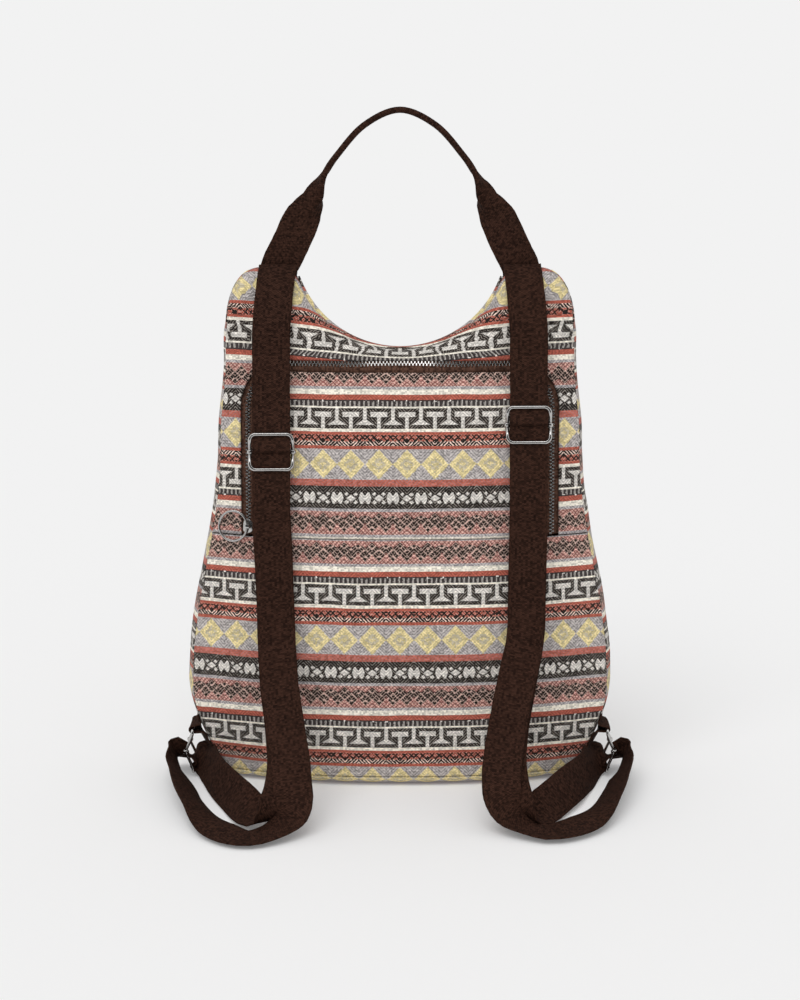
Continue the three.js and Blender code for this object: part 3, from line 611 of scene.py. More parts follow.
@dataclass(frozen=True)
class RibbedWebbing:
    """Brown webbing or zip tape with a fine diagonal rib."""

    name: str
    light: Colour
    dark: Colour
    rib: float
    relief: float

    def material(self) -> Material:
        """The finished webbing."""
        sheet = Sheet(self.name, roughness=0.9, specular=0.06)
        across, along = sheet.cloth()
        turn = math.tau / self.rib
        rib = ((across + along) * turn).sine() * 0.5 + 0.5
        cross = ((across - along * 2.0) * (turn * 0.5)).sine() * 0.25 + 0.25
        weave = rib * 0.6 + cross + sheet.noise(1400.0) * 0.4
        grain = sheet.speckle(across / 1.5, along / 1.3)
        mottle = sheet.noise(40.0) * 0.3 + grain * 1.1 + 0.3
        sheet.paint(sheet.tint((weave * 0.7).blend(self.dark, self.light), mottle))
        sheet.emboss(weave, depth=self.relief, strength=0.6)
        return sheet.material


@dataclass(frozen=True)
class NickelWire:
    """Bright plated wire with a faintly uneven polish."""

    name: str = "nickel_wire"
    colour: Colour = linear(196, 194, 192)
    rubbed: Colour = linear(150, 148, 146)

    def material(self) -> Material:
        """The finished metal."""
        sheet = Sheet(self.name, roughness=0.16, metallic=1.0)
        rubbed = sheet.noise(420.0, detail=4.0)
        colour = (rubbed * 0.3).blend(self.colour, self.rubbed)
        sheet.paint(sheet.tint(colour, rubbed * 0.1 + 0.95))
        sheet.roughen(rubbed * 0.16 + 0.12)
        sheet.emboss(rubbed, depth=0.03, strength=0.25)
        return sheet.material


@dataclass(frozen=True)
class Finishes:
    """The finished materials of the bag."""

    fabric: Material
    webbing: Material
    tape: Material
    metal: Material

    @classmethod
    def make(cls) -> "Finishes":
        """Makes each finish once."""
        webbing = RibbedWebbing("brown_webbing", linear(62, 40, 31), linear(28, 17, 13), rib=1.5, relief=0.25)
        tape = RibbedWebbing("zip_tape", linear(96, 70, 58), linear(58, 38, 31), rib=0.9, relief=0.12)
        return cls(WovenFabric().material(), webbing.material(), tape.material(), NickelWire().material())


def show(obj: Piece) -> Piece:
    """Puts an object in the scene."""
    bpy.context.scene.collection.objects.link(obj)
    return obj


def move(bm: BMesh, matrix: Matrix) -> None:
    """Moves a whole mesh."""
    bmesh.ops.transform(bm, matrix=matrix, verts=bm.verts[:])


def soften(bm: BMesh, offset: float, segments: int, clamp_overlap: bool) -> None:
    """Rounds every edge of a mesh.

    Args:
        bm: The mesh.
        offset: Width of the rounding.
        segments: Faces across it.
        clamp_overlap: Whether roundings stop where they would meet.
    """
    bmesh.ops.bevel(
        bm, geom=bm.edges[:], offset=offset * MM, segments=segments, profile=0.5, affect="EDGES", material=-1,
        clamp_overlap=clamp_overlap,
    )


def add_box(bm: BMesh, centre: Sequence[float], size: Sequence[float]) -> None:
    """Adds a block to a mesh by its centre and its size."""
    place = Matrix.Translation([value * MM for value in centre]) @ Matrix.Diagonal((*size, 1))
    bmesh.ops.create_cube(bm, size=MM, matrix=place)


def new_object(name: str, bm: BMesh, smooth: bool = True) -> Piece:
    """Turns a bmesh in metres into an object of the scene.

    Args:
        name: Name of the piece.
        bm: The mesh, which is freed.
        smooth: Whether its faces are shaded smooth.

    Returns:
        The new object.
    """
    for face in bm.faces:
        face.smooth = smooth
    mesh = bpy.data.meshes.new(name)
    bm.to_mesh(mesh)
    bm.free()
    return show(bpy.data.objects.new(name, mesh))


def cloth_grid(name: str, columns: int, rows: int, rule: Rule) -> Piece:
    """Makes a sheet from a grid whose points follow a rule.

    Args:
        name: Name of the piece.
        columns: Cells across.
        rows: Cells along.
        rule: Gives a point and its cloth coordinates for shares from 0 to 1.

    Returns:
        The new sheet.
    """
    bm = bmesh.new()
    bmesh.ops.create_grid(bm, x_segments=columns, y_segments=rows, size=0.5)
    layer = bm.loops.layers.uv.new(CLOTH_MAP)
    places = {vert: rule(vert.co.x + 0.5, vert.co.y + 0.5) for vert in bm.verts}
    for face in bm.faces:
        for loop in face.loops:
            loop[layer].uv = places[loop.vert][1]
    for vert, (spot, _) in places.items():
        vert.co = spot * MM
    return new_object(name, bm)


def thicken(obj: Piece, thickness: float, offset: float = -1.0, rounding: float = 0.0) -> None:
    """Gives a sheet its real thickness.

    Args:
        obj: The sheet.
        thickness: Thickness of the cloth.
        offset: -1 grows inwards from the face, 0 grows both ways.
        rounding: Radius of its cut edges.
    """
    wall = obj.modifiers.new("thickness", "SOLIDIFY")
    wall.thickness = thickness * MM
    wall.offset = offset
    if rounding:
        edge = obj.modifiers.new("edges", "BEVEL")
        edge.width = rounding * MM
        edge.segments = 2
        edge.limit_method = "ANGLE"
        edge.angle_limit = math.radians(CUT_ANGLE)


@dataclass
class Dresser:
    """Gives finished pieces their material and body, and hides the solids that they stand for."""

    finishes: Finishes
    webbing_thick: float = 1.3
    webbing_round: float = 0.35

    def dress(
        self, obj: Piece, body: str, slot: str, material: Material, replaces: Iterable[str] = ()
    ) -> Piece:
        """Finishes one piece and hangs it on its body.

        Args:
            obj: The piece.
            body: Body that it moves with.
            slot: Material slot of the record; not used.
            material: Its finish.
            replaces: Solids that it stands for.

        Returns:
            The piece.
        """
        obj.data.materials.clear()
        obj.data.materials.append(material)
        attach(obj, body)
        if replaces:
            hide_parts(*replaces)
        LOG.info("%s rides on %s with %d faces", obj.name, body, len(obj.data.polygons))
        return obj

    def panel(self, obj: Piece, flat: Cloth, node: str, thickness: float = 1.5) -> None:
        """Finishes a sewn panel of woven cloth.

        Args:
            obj: The panel.
            flat: Width and length of its cut; not used.
            node: Solid that it stands for.
            thickness: Thickness of the cloth.
        """
        self.dress(obj, "bag", "printed_fabric", self.finishes.fabric, [node])
        thicken(obj, thickness)

    def strip(
        self, obj: Piece, length: float, width: float, body: str, nodes: Iterable[str], held: str
    ) -> None:
        """Finishes a strip of webbing.

        Args:
            obj: The strip.
            length: Its cut length; not used.
            width: Its width.
            body: Body that it moves with.
            nodes: Solids that it stands for.
            held: How it is held; not used.
        """
        self.dress(obj, body, "webbing", self.finishes.webbing, nodes)
        thicken(obj, self.webbing_thick, offset=0.0, rounding=self.webbing_round)
        width * MM

    def wire(self, obj: Piece, body: str, node: str) -> None:
        """Finishes a piece of plated wire."""
        self.dress(obj, body, "nickel_wire", self.finishes.metal, [node])


@dataclass
class ZipRoute:
    """The zip's centre line: up the left leg, over the top and down the right leg."""

    half_width: float = 123.5
    top: float = 346.0
    corner: float = 36.0
    foot: float = 1.5
    seam_clear: float = 0.3

    @property
    def leg(self) -> float:
        """Length of a straight leg."""
        return self.top - self.corner - FORM.seam - self.foot

    @property
    def length(self) -> float:
        """Length of the whole route."""
        return 2 * (self.leg + self.corner * math.pi / 2 + self.half_width - self.corner)

    def at(self, run: float) -> tuple[float, float, float, float]:
        """A place on the route.

        Args:
            run: Length along the route.

        Returns:
            X and Z of the place, and X and Z of the direction away from the flap.
        """
        rest = min(run, self.length - run)
        side = -1.0 if run <= self.length / 2 else 1.0
        shoulder = self.top - self.corner
        if rest <= self.leg:
            return side * self.half_width, FORM.seam + self.foot + rest, side, 0.0
        turn = clamp((rest - self.leg) / self.corner, 0.0, math.pi / 2)
        over = max(0.0, rest - self.leg - self.corner * math.pi / 2)
        x = side * (self.half_width - self.corner + self.corner * math.cos(turn) - over)
        return x, shoulder + self.corner * math.sin(turn), side * math.cos(turn), math.sin(turn)

    def place(self, run: float, out: float, lift: float) -> Vector:
        """A point at a length along the route, a distance out from the flap and a lift off the face."""
        x, z, out_x, out_z = self.at(run)
        z = max(z + out * out_z, FORM.seam + self.seam_clear)
        return FORM.point(Face.BACK, x + out * out_x, z, lift)


ROUTE = ZipRoute()


@dataclass
class WovenPanels:
    """The sewn cloth panels of the bag."""

    dresser: Dresser
    seam_roll: float = 5.0
    seam_depth: float = 2.2
    lower_top: float = -1.0
    flap_top: float = 141.9
    flap_shift: float = 5.6
    yoke_foot: float = 3.0
    yoke_sag: float = 7.5
    gusset_phase: float = 44.0
    flap_inset: float = 6.8
    window_side: float = 6.0
    window_top: float = 2.4
    gusset_bulge: float = 6.0
    base_bulge: float = 3.0
    base_thick: float = 8.0
    wall: float = 2.4
    stitch_gap: float = 0.2
    hair: float = 0.01
    foot_ease: float = 1.5
    zip_roll: float = 3.0
    zip_depth: float = 1.2
    rim_side: float = 0.52
    sill_side: float = 0.42
    corner_end: float = 0.66
    sag_half_width: float = 118.0
    sag_foot: float = 300.0
    sag_rise: float = 40.0
    gusset_straight: float = 0.88
    gusset_turn: float = 72.0
    gusset_sag: float = 0.8
    gusset_waves: tuple[float, float, float] = (1.6, 30.0, 5.0)
    gusset_slack: Cloth = (1.05, 1.03)
    gusset_clear: float = 0.3
    neck_clear: float = 0.3
    neck_roll: float = 2.4
    neck_sink: float = 0.6
    base_roll: float = 9.0
    base_inset: float = 6.0
    base_steep: float = 1.6

    def build(self) -> None:
        """Makes and finishes each panel."""
        self.dresser.panel(cloth_grid("back_lower", 84, 60, self.lower), (352, 210), "back_lower_panel")
        self.dresser.panel(cloth_grid("zip_flap", 72, 46, self.flap), (236, 142), "zip_flap_panel")
        self.dresser.panel(cloth_grid("back_yoke", 190, 18, self.yoke), (64, 640), "back_yoke_panel")
        self.dresser.panel(cloth_grid("front", 90, 96, self.front), (352, 450), "front_panel")
        for side in Side:
            name = f"side_gusset_{side.word}"
            rule = self.gusset_rule(side)
            self.dresser.panel(cloth_grid(f"gusset_{side.word}", 18, 90, rule), (74, 440), name)
        self.dresser.panel(cloth_grid("neckline", 8, 56, self.neckline), (18, 215), "neckline_strip")
        self.dresser.panel(cloth_grid("base", 96, 44, self.base), (306, 136), "base_panel", thickness=1.2)

    def cloth(self, x: float, z: float, cut: Cut, start: float, shift: float = 0.0) -> Cloth:
        """Cloth coordinates of a point, with the repeat's start above the seam and a motif's shift across."""
        return FORM.across(x, z) - shift, cut.value * (FORM.up(x, z) - start)

    def lower(self, a: float, b: float) -> Spot:
        """A point of the lower back panel, between the base and the cross seam."""
        z = lerp(FORM.floor, FORM.seam - self.stitch_gap, crowd(b))
        x = lerp(-1, 1, crowd(a)) * FORM.side_half_width(z)
        edge = min(FORM.side_half_width(z) - abs(x), FORM.seam - z, z - FORM.floor + self.foot_ease)
        spot = FORM.point(Face.BACK, x, z, -dip(edge, self.seam_roll, self.seam_depth))
        return spot, self.cloth(x, z, Cut.UPRIGHT, self.lower_top)

    def flap(self, a: float, b: float) -> Spot:
        """A point of the zip flap, inside the U of the zip."""
        half = ROUTE.half_width - self.flap_inset
        radius = ROUTE.corner - self.flap_inset
        shoulder = ROUTE.top - ROUTE.corner
        straight = shoulder - FORM.seam - self.stitch_gap
        run = crowd(b) * (straight + radius * math.pi / 2)
        turn = max(0.0, run - straight) / radius
        z = FORM.seam + self.stitch_gap + min(run, straight) + radius * math.sin(turn)
        reach = half - radius + radius * math.cos(turn)
        x = lerp(-1, 1, crowd(a)) * reach
        edge = min(half - abs(x), ROUTE.top - self.flap_inset - z)
        fold = dip(z - FORM.seam, self.seam_roll, self.seam_depth)
        spot = FORM.point(Face.BACK, x, z, -max(dip(edge, self.zip_roll, self.zip_depth), fold))
        return spot, self.cloth(x, z, Cut.UPRIGHT, self.flap_top, self.flap_shift)

    @staticmethod
    def half_way(q: float) -> tuple[float, float]:
        """Side of the bag, and share of the way to its middle, at a share of the whole U."""
        return -1.0 if q <= 0.5 else 1.0, 2 * min(q, 1 - q)

    def yoke_rim(self, q: float) -> tuple[float, float]:
        """X and Z of the yoke's outer edge, from the left seam over both ears to the right."""
        side, share = self.half_way(q)
        corner_foot = FORM.ear_height - FORM.ear_corner_drop
        span = FORM.shoulder_half_width - FORM.ear_outer
        if share < self.rim_side:
            z = lerp(FORM.seam + self.stitch_gap, corner_foot, share / self.rim_side)
            return side * FORM.side_half_width(z), z
        if share < self.corner_end:
            turn = (share - self.rim_side) / (self.corner_end - self.rim_side) * math.pi / 2
            x = FORM.ear_outer + span * math.cos(turn)
            return side * x, corner_foot + FORM.ear_corner_drop * math.sin(turn)
        x = lerp(FORM.ear_outer, 0.0, (share - self.corner_end) / (1 - self.corner_end)) if share < 1 else 0.0
        return side * x, FORM.top_height(x)

    def yoke_sill(self, q: float) -> tuple[float, float]:
        """X and Z of the yoke's inner edge along the zip, matched to its outer edge."""
        side, share = self.half_way(q)
        half = ROUTE.half_width + self.window_side
        top = ROUTE.top + self.window_top
        radius = ROUTE.corner + self.window_top
        shoulder = top - radius
        if share < self.sill_side:
            return side * half, lerp(FORM.seam + self.stitch_gap, shoulder, share / self.sill_side)
        if share < self.corner_end:
            turn = (share - self.sill_side) / (self.corner_end - self.sill_side) * math.pi / 2
            return side * (half - radius + radius * math.cos(turn)), shoulder + radius * math.sin(turn)
        return side * lerp(half - radius, 0.0, (share - self.corner_end) / (1 - self.corner_end)), top

    def yoke(self, a: float, b: float) -> Spot:
        """A point of the yoke, the U-shaped panel with the ears."""
        rim_x, rim_z = self.yoke_rim(a)
        sill_x, sill_z = self.yoke_sill(a)
        share = crowd(b, 0.6)
        x, z = lerp(sill_x, rim_x, share), lerp(sill_z, rim_z, share)
        z = min(z, FORM.top_height(x) - self.hair)
        gap = math.hypot(x - sill_x, z - sill_z)
        edge = min(FORM.side_half_width(z) - abs(x), z - FORM.seam)
        turned = max(dip(gap, self.zip_roll, self.zip_depth), dip(edge, self.seam_roll, self.seam_depth))
        u, v = self.cloth(x, z, Cut.TURNED, self.yoke_foot)
        middle = clamp(1 - (x / self.sag_half_width) ** 2)
        sag = self.yoke_sag * middle * clamp((z - self.sag_foot) / self.sag_rise)
        return FORM.point(Face.BACK, x, z, -turned), (u, v + sag)

    def front(self, a: float, b: float) -> Spot:
        """A point of the front panel, one piece from the base to the ears."""
        share = lerp(1, -1, crowd(a))
        top = FORM.top_height(share * FORM.shoulder_half_width)
        z = min(lerp(FORM.floor, top, 1 - (1 - crowd(b, 0.3)) ** 1.5), top - self.hair)
        x = share * FORM.side_half_width(z)
        edge = min(FORM.side_half_width(z) - abs(x), z - FORM.floor + self.foot_ease)
        spot = FORM.point(Face.FRONT, x, z, -dip(edge, self.seam_roll, self.seam_depth))
        return spot, self.cloth(x, z, Cut.UPRIGHT, self.lower_top)

    def gusset_rule(self, side: Side) -> Rule:
        """The rule of one side gusset.

        Args:
            side: Which side of the bag.

        Returns:
            The rule for its grid.
        """
        foot = FORM.ear_height - FORM.ear_corner_drop
        span = FORM.shoulder_half_width - FORM.ear_outer
        widest = FORM.half_depth(FORM.base_half_width, FORM.floor)

        def rule(a: float, b: float) -> Spot:
            """A point of the gusset."""
            part = lerp(-1, 1, crowd(a, 0.6)) * side.value
            if b < self.gusset_straight:
                z = lerp(FORM.floor, foot, b / self.gusset_straight)
                spot, out = Vector((FORM.side_half_width(z), 0, z)), Vector((1, 0, 0))
            else:
                share = (b - self.gusset_straight) / (1 - self.gusset_straight)
                turn = share * math.radians(self.gusset_turn)
                z = foot + FORM.ear_corner_drop * math.sin(turn)
                spot = Vector((FORM.ear_outer + span * math.cos(turn), 0, z))
                out = Vector((math.cos(turn) / span, 0, math.sin(turn) / FORM.ear_corner_drop)).normalized()
            half = max(FORM.half_depth(spot.x, spot.z) - self.wall - self.gusset_clear, FORM.ear_half_gap / 2)
            rise = clamp((spot.z - FORM.floor) / (FORM.belly_height - FORM.floor))
            bulge = lerp(self.base_bulge, self.gusset_bulge, rise) * min(half / widest, 1) * (1 - part**2)
            wide, tall, seed = self.gusset_waves
            uneven = noise.noise(Vector((part * wide, spot.z / tall, side.value * seed)))
            sag = self.gusset_sag * uneven * (1 - part**2)
            spot += out * (bulge + sag)
            across, along = self.gusset_slack
            cloth = (part * half * across, self.gusset_phase - spot.z * along)
            return Vector((side.value * spot.x, part * half, spot.z)), cloth

        return rule

    def neckline(self, a: float, b: float) -> Spot:
        """A point of the rolled strip along the neckline between the ears."""
        part = lerp(1, -1, a)
        x = lerp(-1, 1, b) * (FORM.ear_inner - self.neck_clear)
        lean = math.asin(x / FORM.neckline_radius)
        half = FORM.half_depth(x, FORM.top_height(x) - self.hair) - self.stitch_gap
        off = self.neck_roll * (1 - part**2) - self.neck_sink
        spot = Vector((x - off * math.sin(lean), part * half, FORM.top_height(x) + off * math.cos(lean)))
        start = FORM.up(0.0, FORM.top_height(x) - self.hair) - self.yoke_foot + self.yoke_sag
        return spot, (FORM.neckline_radius * lean, start + half * (1 + part))

    def base(self, a: float, b: float) -> Spot:
        """A point of the base, a shallow tray of cloth with a flat underside."""
        s, part = lerp(1, -1, crowd(a, 0.9)), lerp(-1, 1, crowd(b, 0.9))
        half = FORM.half_depth(s * FORM.base_half_width, FORM.floor)
        end = FORM.base_half_width + self.base_bulge * (1 - part**2)
        edge = min((1 - abs(s)) * end, (1 - abs(part)) * half)
        rise = dip(edge, self.base_roll, 1.0)
        inset = self.base_inset * (1 - clamp(rise * self.base_steep))
        x, y = s * (end - inset * abs(s)), part * (half - inset * abs(part))
        spot = Vector((x, y, rise * (self.base_thick - self.stitch_gap)))
        start = self.lower_top - FORM.up(s * FORM.base_half_width, FORM.floor)
        # Twice the rim's height of cloth runs down the rim, so the diamonds end early and the darker
        # terracotta band of the print sits at its foot. The print is real, but that darker band is placed
        # there partly as painted shade where the bag meets the floor.
        under = (1 + part) * half + (1 - rise) * self.base_thick * 2
        return spot, (FORM.across(s * FORM.base_half_width, FORM.floor), start + under)


@dataclass
class Zip:
    """Tapes, meshed teeth, slider and round pull of the zip."""

    dresser: Dresser
    pitch: float = 2.8
    tooth_length: float = 1.25
    tooth_reach: float = 2.5
    tooth_thick: float = 1.7
    slider_spot: Vector = Vector((-123.5, -36.549, 214.0))
    slider_x: Vector = Vector((0.95311, -0.30037, 0.03671))
    slider_y: Vector = Vector((0.0, 0.12130, 0.99262))
    slider_z: Vector = Vector((-0.30261, -0.94608, 0.11562))
    ring_radius: float = 12.2
    ring_wire: float = 1.0
    ring_rise: float = 2.7
    tape_thick: float = 0.6
    tape_depth: float = 1.5
    tape_tuck: float = 2.1
    tuck_reach: float = 3.2
    flap_shown: float = 6.8
    yoke_shown: float = 3.7
    tooth_depth: float = 0.9
    tooth_overlap: float = 0.3
    tooth_round: float = 0.22
    plate_half: float = 5.5
    plate_half_width: float = 4.2
    plate_waist: float = 0.16
    plate_slim: float = 0.95
    plate_rise: float = 0.4
    plate_thick: float = 0.9
    plate_round: float = 0.2
    flange_reach: float = 3.6
    flange_centre: float = -0.7
    flange_size: tuple[float, float, float] = (1.2, 5.5, 2.4)
    bail_length: float = 3.0

    def build(self) -> None:
        """Makes and finishes each piece of the zip."""
        tapes = {"outer": (0.35, 10.4), "inner": (-0.35, -13.0)}
        for name, (near, far) in tapes.items():
            tape = cloth_grid(f"tape_{name}", 10, 260, self.tape_rule(near, far))
            self.dresser.dress(tape, "bag", "zip_tape", self.dresser.finishes.tape, [f"zip_tape_{name}"])
            thicken(tape, self.tape_thick)
            ROUTE.length * MM
            teeth = self.teeth(f"teeth_{name}", 1.0 if near > 0 else -1.0)
            self.dresser.wire(teeth, "bag", f"zip_teeth_{name}")
        self.dresser.wire(self.slider(), "zip_slider", "zip_slider")
        self.dresser.wire(self.pull(), "zip_pull", "zip_pull_ring")

    def tape_rule(self, near: float, far: float) -> Rule:
        """The rule of one tape.

        Args:
            near: Offset of its toothed edge from the route.
            far: Offset of its sewn edge.

        Returns:
            The rule for its grid.
        """

        def rule(a: float, b: float) -> Spot:
            """A point of the tape, which dips under the cloth it is sewn to."""
            share = a if far < near else 1 - a
            out = lerp(far, near, share)
            shown = self.flap_shown if far < near else self.yoke_shown
            tucked = ease((abs(out) - shown + self.tuck_reach) / self.tuck_reach)
            lift = -self.tape_depth - self.tape_tuck * tucked
            run = b * ROUTE.length
            return ROUTE.place(run, out, lift), (out, run)

        return rule

    def teeth(self, name: str, row: float) -> Piece:
        """One row of teeth, each a small block with a rounded head.

        Args:
            name: Name of the piece.
            row: 1 for the outer row, -1 for the flap's row.

        Returns:
            The new piece.
        """
        bm = bmesh.new()
        count = int(ROUTE.length / self.pitch)
        for k in range(count):
            run = (k + (0.25 if row > 0 else 0.75)) * ROUTE.length / count
            x, z, out_x, out_z = ROUTE.at(run)
            normal = FORM.normal(Face.BACK, x, z)
            out = Vector((out_x, 0, out_z))
            out = (out - normal * out.dot(normal)).normalized() * row
            along = normal.cross(out)
            middle = ROUTE.place(run, 0.0, -self.tooth_depth)
            middle += out * (self.tooth_reach / 2 - self.tooth_overlap)
            sides = (out * self.tooth_reach, along * self.tooth_length, normal * self.tooth_thick)
            place = Matrix.Translation(middle * MM) @ (Matrix(sides).transposed() * MM).to_4x4()
            bmesh.ops.create_cube(bm, size=1.0, matrix=place)
        soften(bm, self.tooth_round, segments=1, clamp_overlap=False)
        return new_object(name, bm, smooth=False)

    def local(self) -> Matrix:
        """The slider's place: X to the right, Y up the leg and Z outwards."""
        turn = Matrix((self.slider_x, self.slider_y, self.slider_z)).transposed().to_4x4()
        return Matrix.Translation(self.slider_spot * MM) @ turn

    def slider(self) -> Piece:
        """The slider: a waisted plate with side flanges and an arched bail."""
        bm = bmesh.new()
        rise = Matrix.Translation((0, 0, self.plate_rise * MM))
        bmesh.ops.create_circle(bm, cap_ends=True, radius=self.plate_half * MM, segments=28, matrix=rise)
        for vert in bm.verts:
            climb = ease((vert.co.y / MM + self.plate_half) / (2 * self.plate_half))
            width = self.plate_half_width * (1 - self.plate_waist * climb)
            vert.co.x = math.copysign(min(abs(vert.co.x) / MM * self.plate_slim, width), vert.co.x) * MM
        top = bmesh.ops.extrude_face_region(bm, geom=bm.faces[:])["geom"]
        moved = [item for item in top if isinstance(item, bmesh.types.BMVert)]
        bmesh.ops.translate(bm, verts=moved, vec=(0, 0, self.plate_thick * MM))
        for side in Side:
            add_box(bm, (side.value * self.flange_reach, 0, self.flange_centre), self.flange_size)
        self.add_bail(bm)
        bmesh.ops.recalc_face_normals(bm, faces=bm.faces[:])
        soften(bm, self.plate_round, segments=2, clamp_overlap=True)
        move(bm, self.local())
        return new_object("slider", bm)

    def add_bail(self, bm: BMesh) -> None:
        """Adds the bail that holds the pull ring: two posts and a cap."""
        posts = ((-1.9, 2.6, 1.1, 2.6), (1.9, 2.6, 1.1, 2.6), (0.0, 4.35, 4.9, 1.1))
        for x, z, width, height in posts:
            add_box(bm, (x, 0, z), (width, self.bail_length, height))

    def pull(self) -> Piece:
        """The round pull: a wire ring hooked in the bail and lying on the cloth."""
        bm = bmesh.new()
        bmesh.ops.create_circle(bm, radius=self.ring_wire * MM, segments=14)
        move(bm, Matrix.Translation((self.ring_radius * MM, 0, 0)) @ Matrix.Rotation(math.pi / 2, 4, "X"))
        bmesh.ops.spin(
            bm, geom=bm.edges[:], cent=(0, 0, 0), axis=(0, 0, 1), angle=math.tau, steps=64, use_merge=True
        )
        bmesh.ops.recalc_face_normals(bm, faces=bm.faces[:])
        move(bm, self.local() @ Matrix.Translation((-self.ring_radius * MM, 0, self.ring_rise * MM)))
        return new_object("pull_ring", bm)


def smooth_line(stations: Sequence[Vector], spans: Sequence[int]) -> list[Vector]:
    """Points on a smooth curve through stations.

    Args:
        stations: Points that the curve goes through, of any dimension.
        spans: Cells in each span.

    Returns:
        The points, ending in the last station.
    """
    padded = [stations[0] * 2 - stations[1], *stations, stations[-1] * 2 - stations[-2]]
    points = []
    for k, cells in enumerate(spans):
        before, start, end, after = padded[k : k + 4]
        for i in range(cells):
            t = i / cells
            slope_in, slope_out = (end - before) * 0.5, (after - start) * 0.5
            bend = (start - end) * 2 + slope_in + slope_out
            swing = (end - start) * 3 - slope_in * 2 - slope_out
            points.append(start + slope_in * t + swing * t**2 + bend * t**3)
    return [*points, stations[-1]]


@dataclass
class Ribbon:
    """A flat strip laid along stations, each a centre and a direction across."""

    name: str
    centres: list[Vector]
    acrosses: list[Vector]
    width: float = 30.0
    columns: int = 10
    cup: float = 0.5
    edge_wave: float = 0.32
    edge_period: float = 5.2
    edge_power: int = 6
    TURN_STEP = 0.12

    @classmethod
    def through(cls, name: str, stations: Sequence[Sequence[float]], step: float) -> "Ribbon":
        """A ribbon on a smooth curve through stations.

        Args:
            name: Name of the piece.
            stations: X, Y, Z and the direction across at each station.
            step: Length of a cell.

        Returns:
            The ribbon.
        """
        centres = [Vector(station[:3]) for station in stations]
        acrosses = [Vector(station[3:]).normalized() for station in stations]
        spans = [
            max(1, round((end - start).length / step), round(one.angle(two) / cls.TURN_STEP))
            for start, end, one, two in zip(centres, centres[1:], acrosses, acrosses[1:])
        ]
        return cls(name, smooth_line(centres, spans), smooth_line(acrosses, spans))

    @property
    def length(self) -> float:
        """Length of the centre line."""
        return sum((end - start).length for start, end in zip(self.centres, self.centres[1:]))

    def frames(self) -> list[tuple[Vector, Vector, Vector, float]]:
        """Centre, direction across, face direction and run of each cross-section."""
        run, last, made = 0.0, len(self.centres) - 1, []
        for k, centre in enumerate(self.centres):
            along = (self.centres[min(k + 1, last)] - self.centres[max(k - 1, 0)]).normalized()
            across = (self.acrosses[k] - along * self.acrosses[k].dot(along)).normalized()
            if k:
                run += (centre - self.centres[k - 1]).length
            made.append((centre, across, along.cross(across), run))
        return made

    def section(self, a: float, k: int) -> tuple[float, float]:
        """Place in a cross-section: across and along its face direction."""
        w = lerp(-0.5, 0.5, crowd(a, 0.5)) * self.width
        return w, -self.cup * (2 * w / self.width) ** 4

    def build(self) -> Piece:
        """Makes the strip as one sheet."""
        frames = self.frames()
        last = len(frames) - 1

        def rule(a: float, b: float) -> Spot:
            """A point of the strip."""
            k = round(b * last)
            centre, across, face, run = frames[k]
            w, lift = self.section(a, k)
            near_edge = abs(2 * a - 1) ** self.edge_power
            wave = self.edge_wave * math.sin(run * math.tau / self.edge_period) * near_edge
            spot = centre + across * (w + math.copysign(wave, w)) + face * lift
            return spot, (lerp(-0.5, 0.5, a) * self.width, run)

        return cloth_grid(self.name, self.columns, last, rule)


@dataclass
class FoldedRibbon(Ribbon):
    """A ribbon that is folded double along a part of its length."""

    folds: Sequence[float] = ()
    bend: float = 5.6
    closed: float = 0.995
    sink: float = 1.7

    def curl(self, k: int) -> list[tuple[float, float]]:
        """The cross-section as a line of points whose one half turns behind the other."""
        turn = math.pi * self.closed * clamp(self.folds[k])
        step = self.width / self.columns
        points = [(0.0, 0.0)]
        for i in range(self.columns):
            heading = turn * clamp(((i + 0.5) * step - self.width / 2 + self.bend / 2) / self.bend)
            x, y = points[-1]
            points.append((x + step * math.cos(heading), y + step * math.sin(heading)))
        return points

    def section(self, a: float, k: int) -> tuple[float, float]:
        """Place in a cross-section that stays centred while it folds."""
        points = self.curl(k)
        middle = (min(x for x, _ in points) + max(x for x, _ in points)) / 2
        x, y = points[round(a * self.columns)]
        return x - middle, y - self.sink * clamp(self.folds[k])


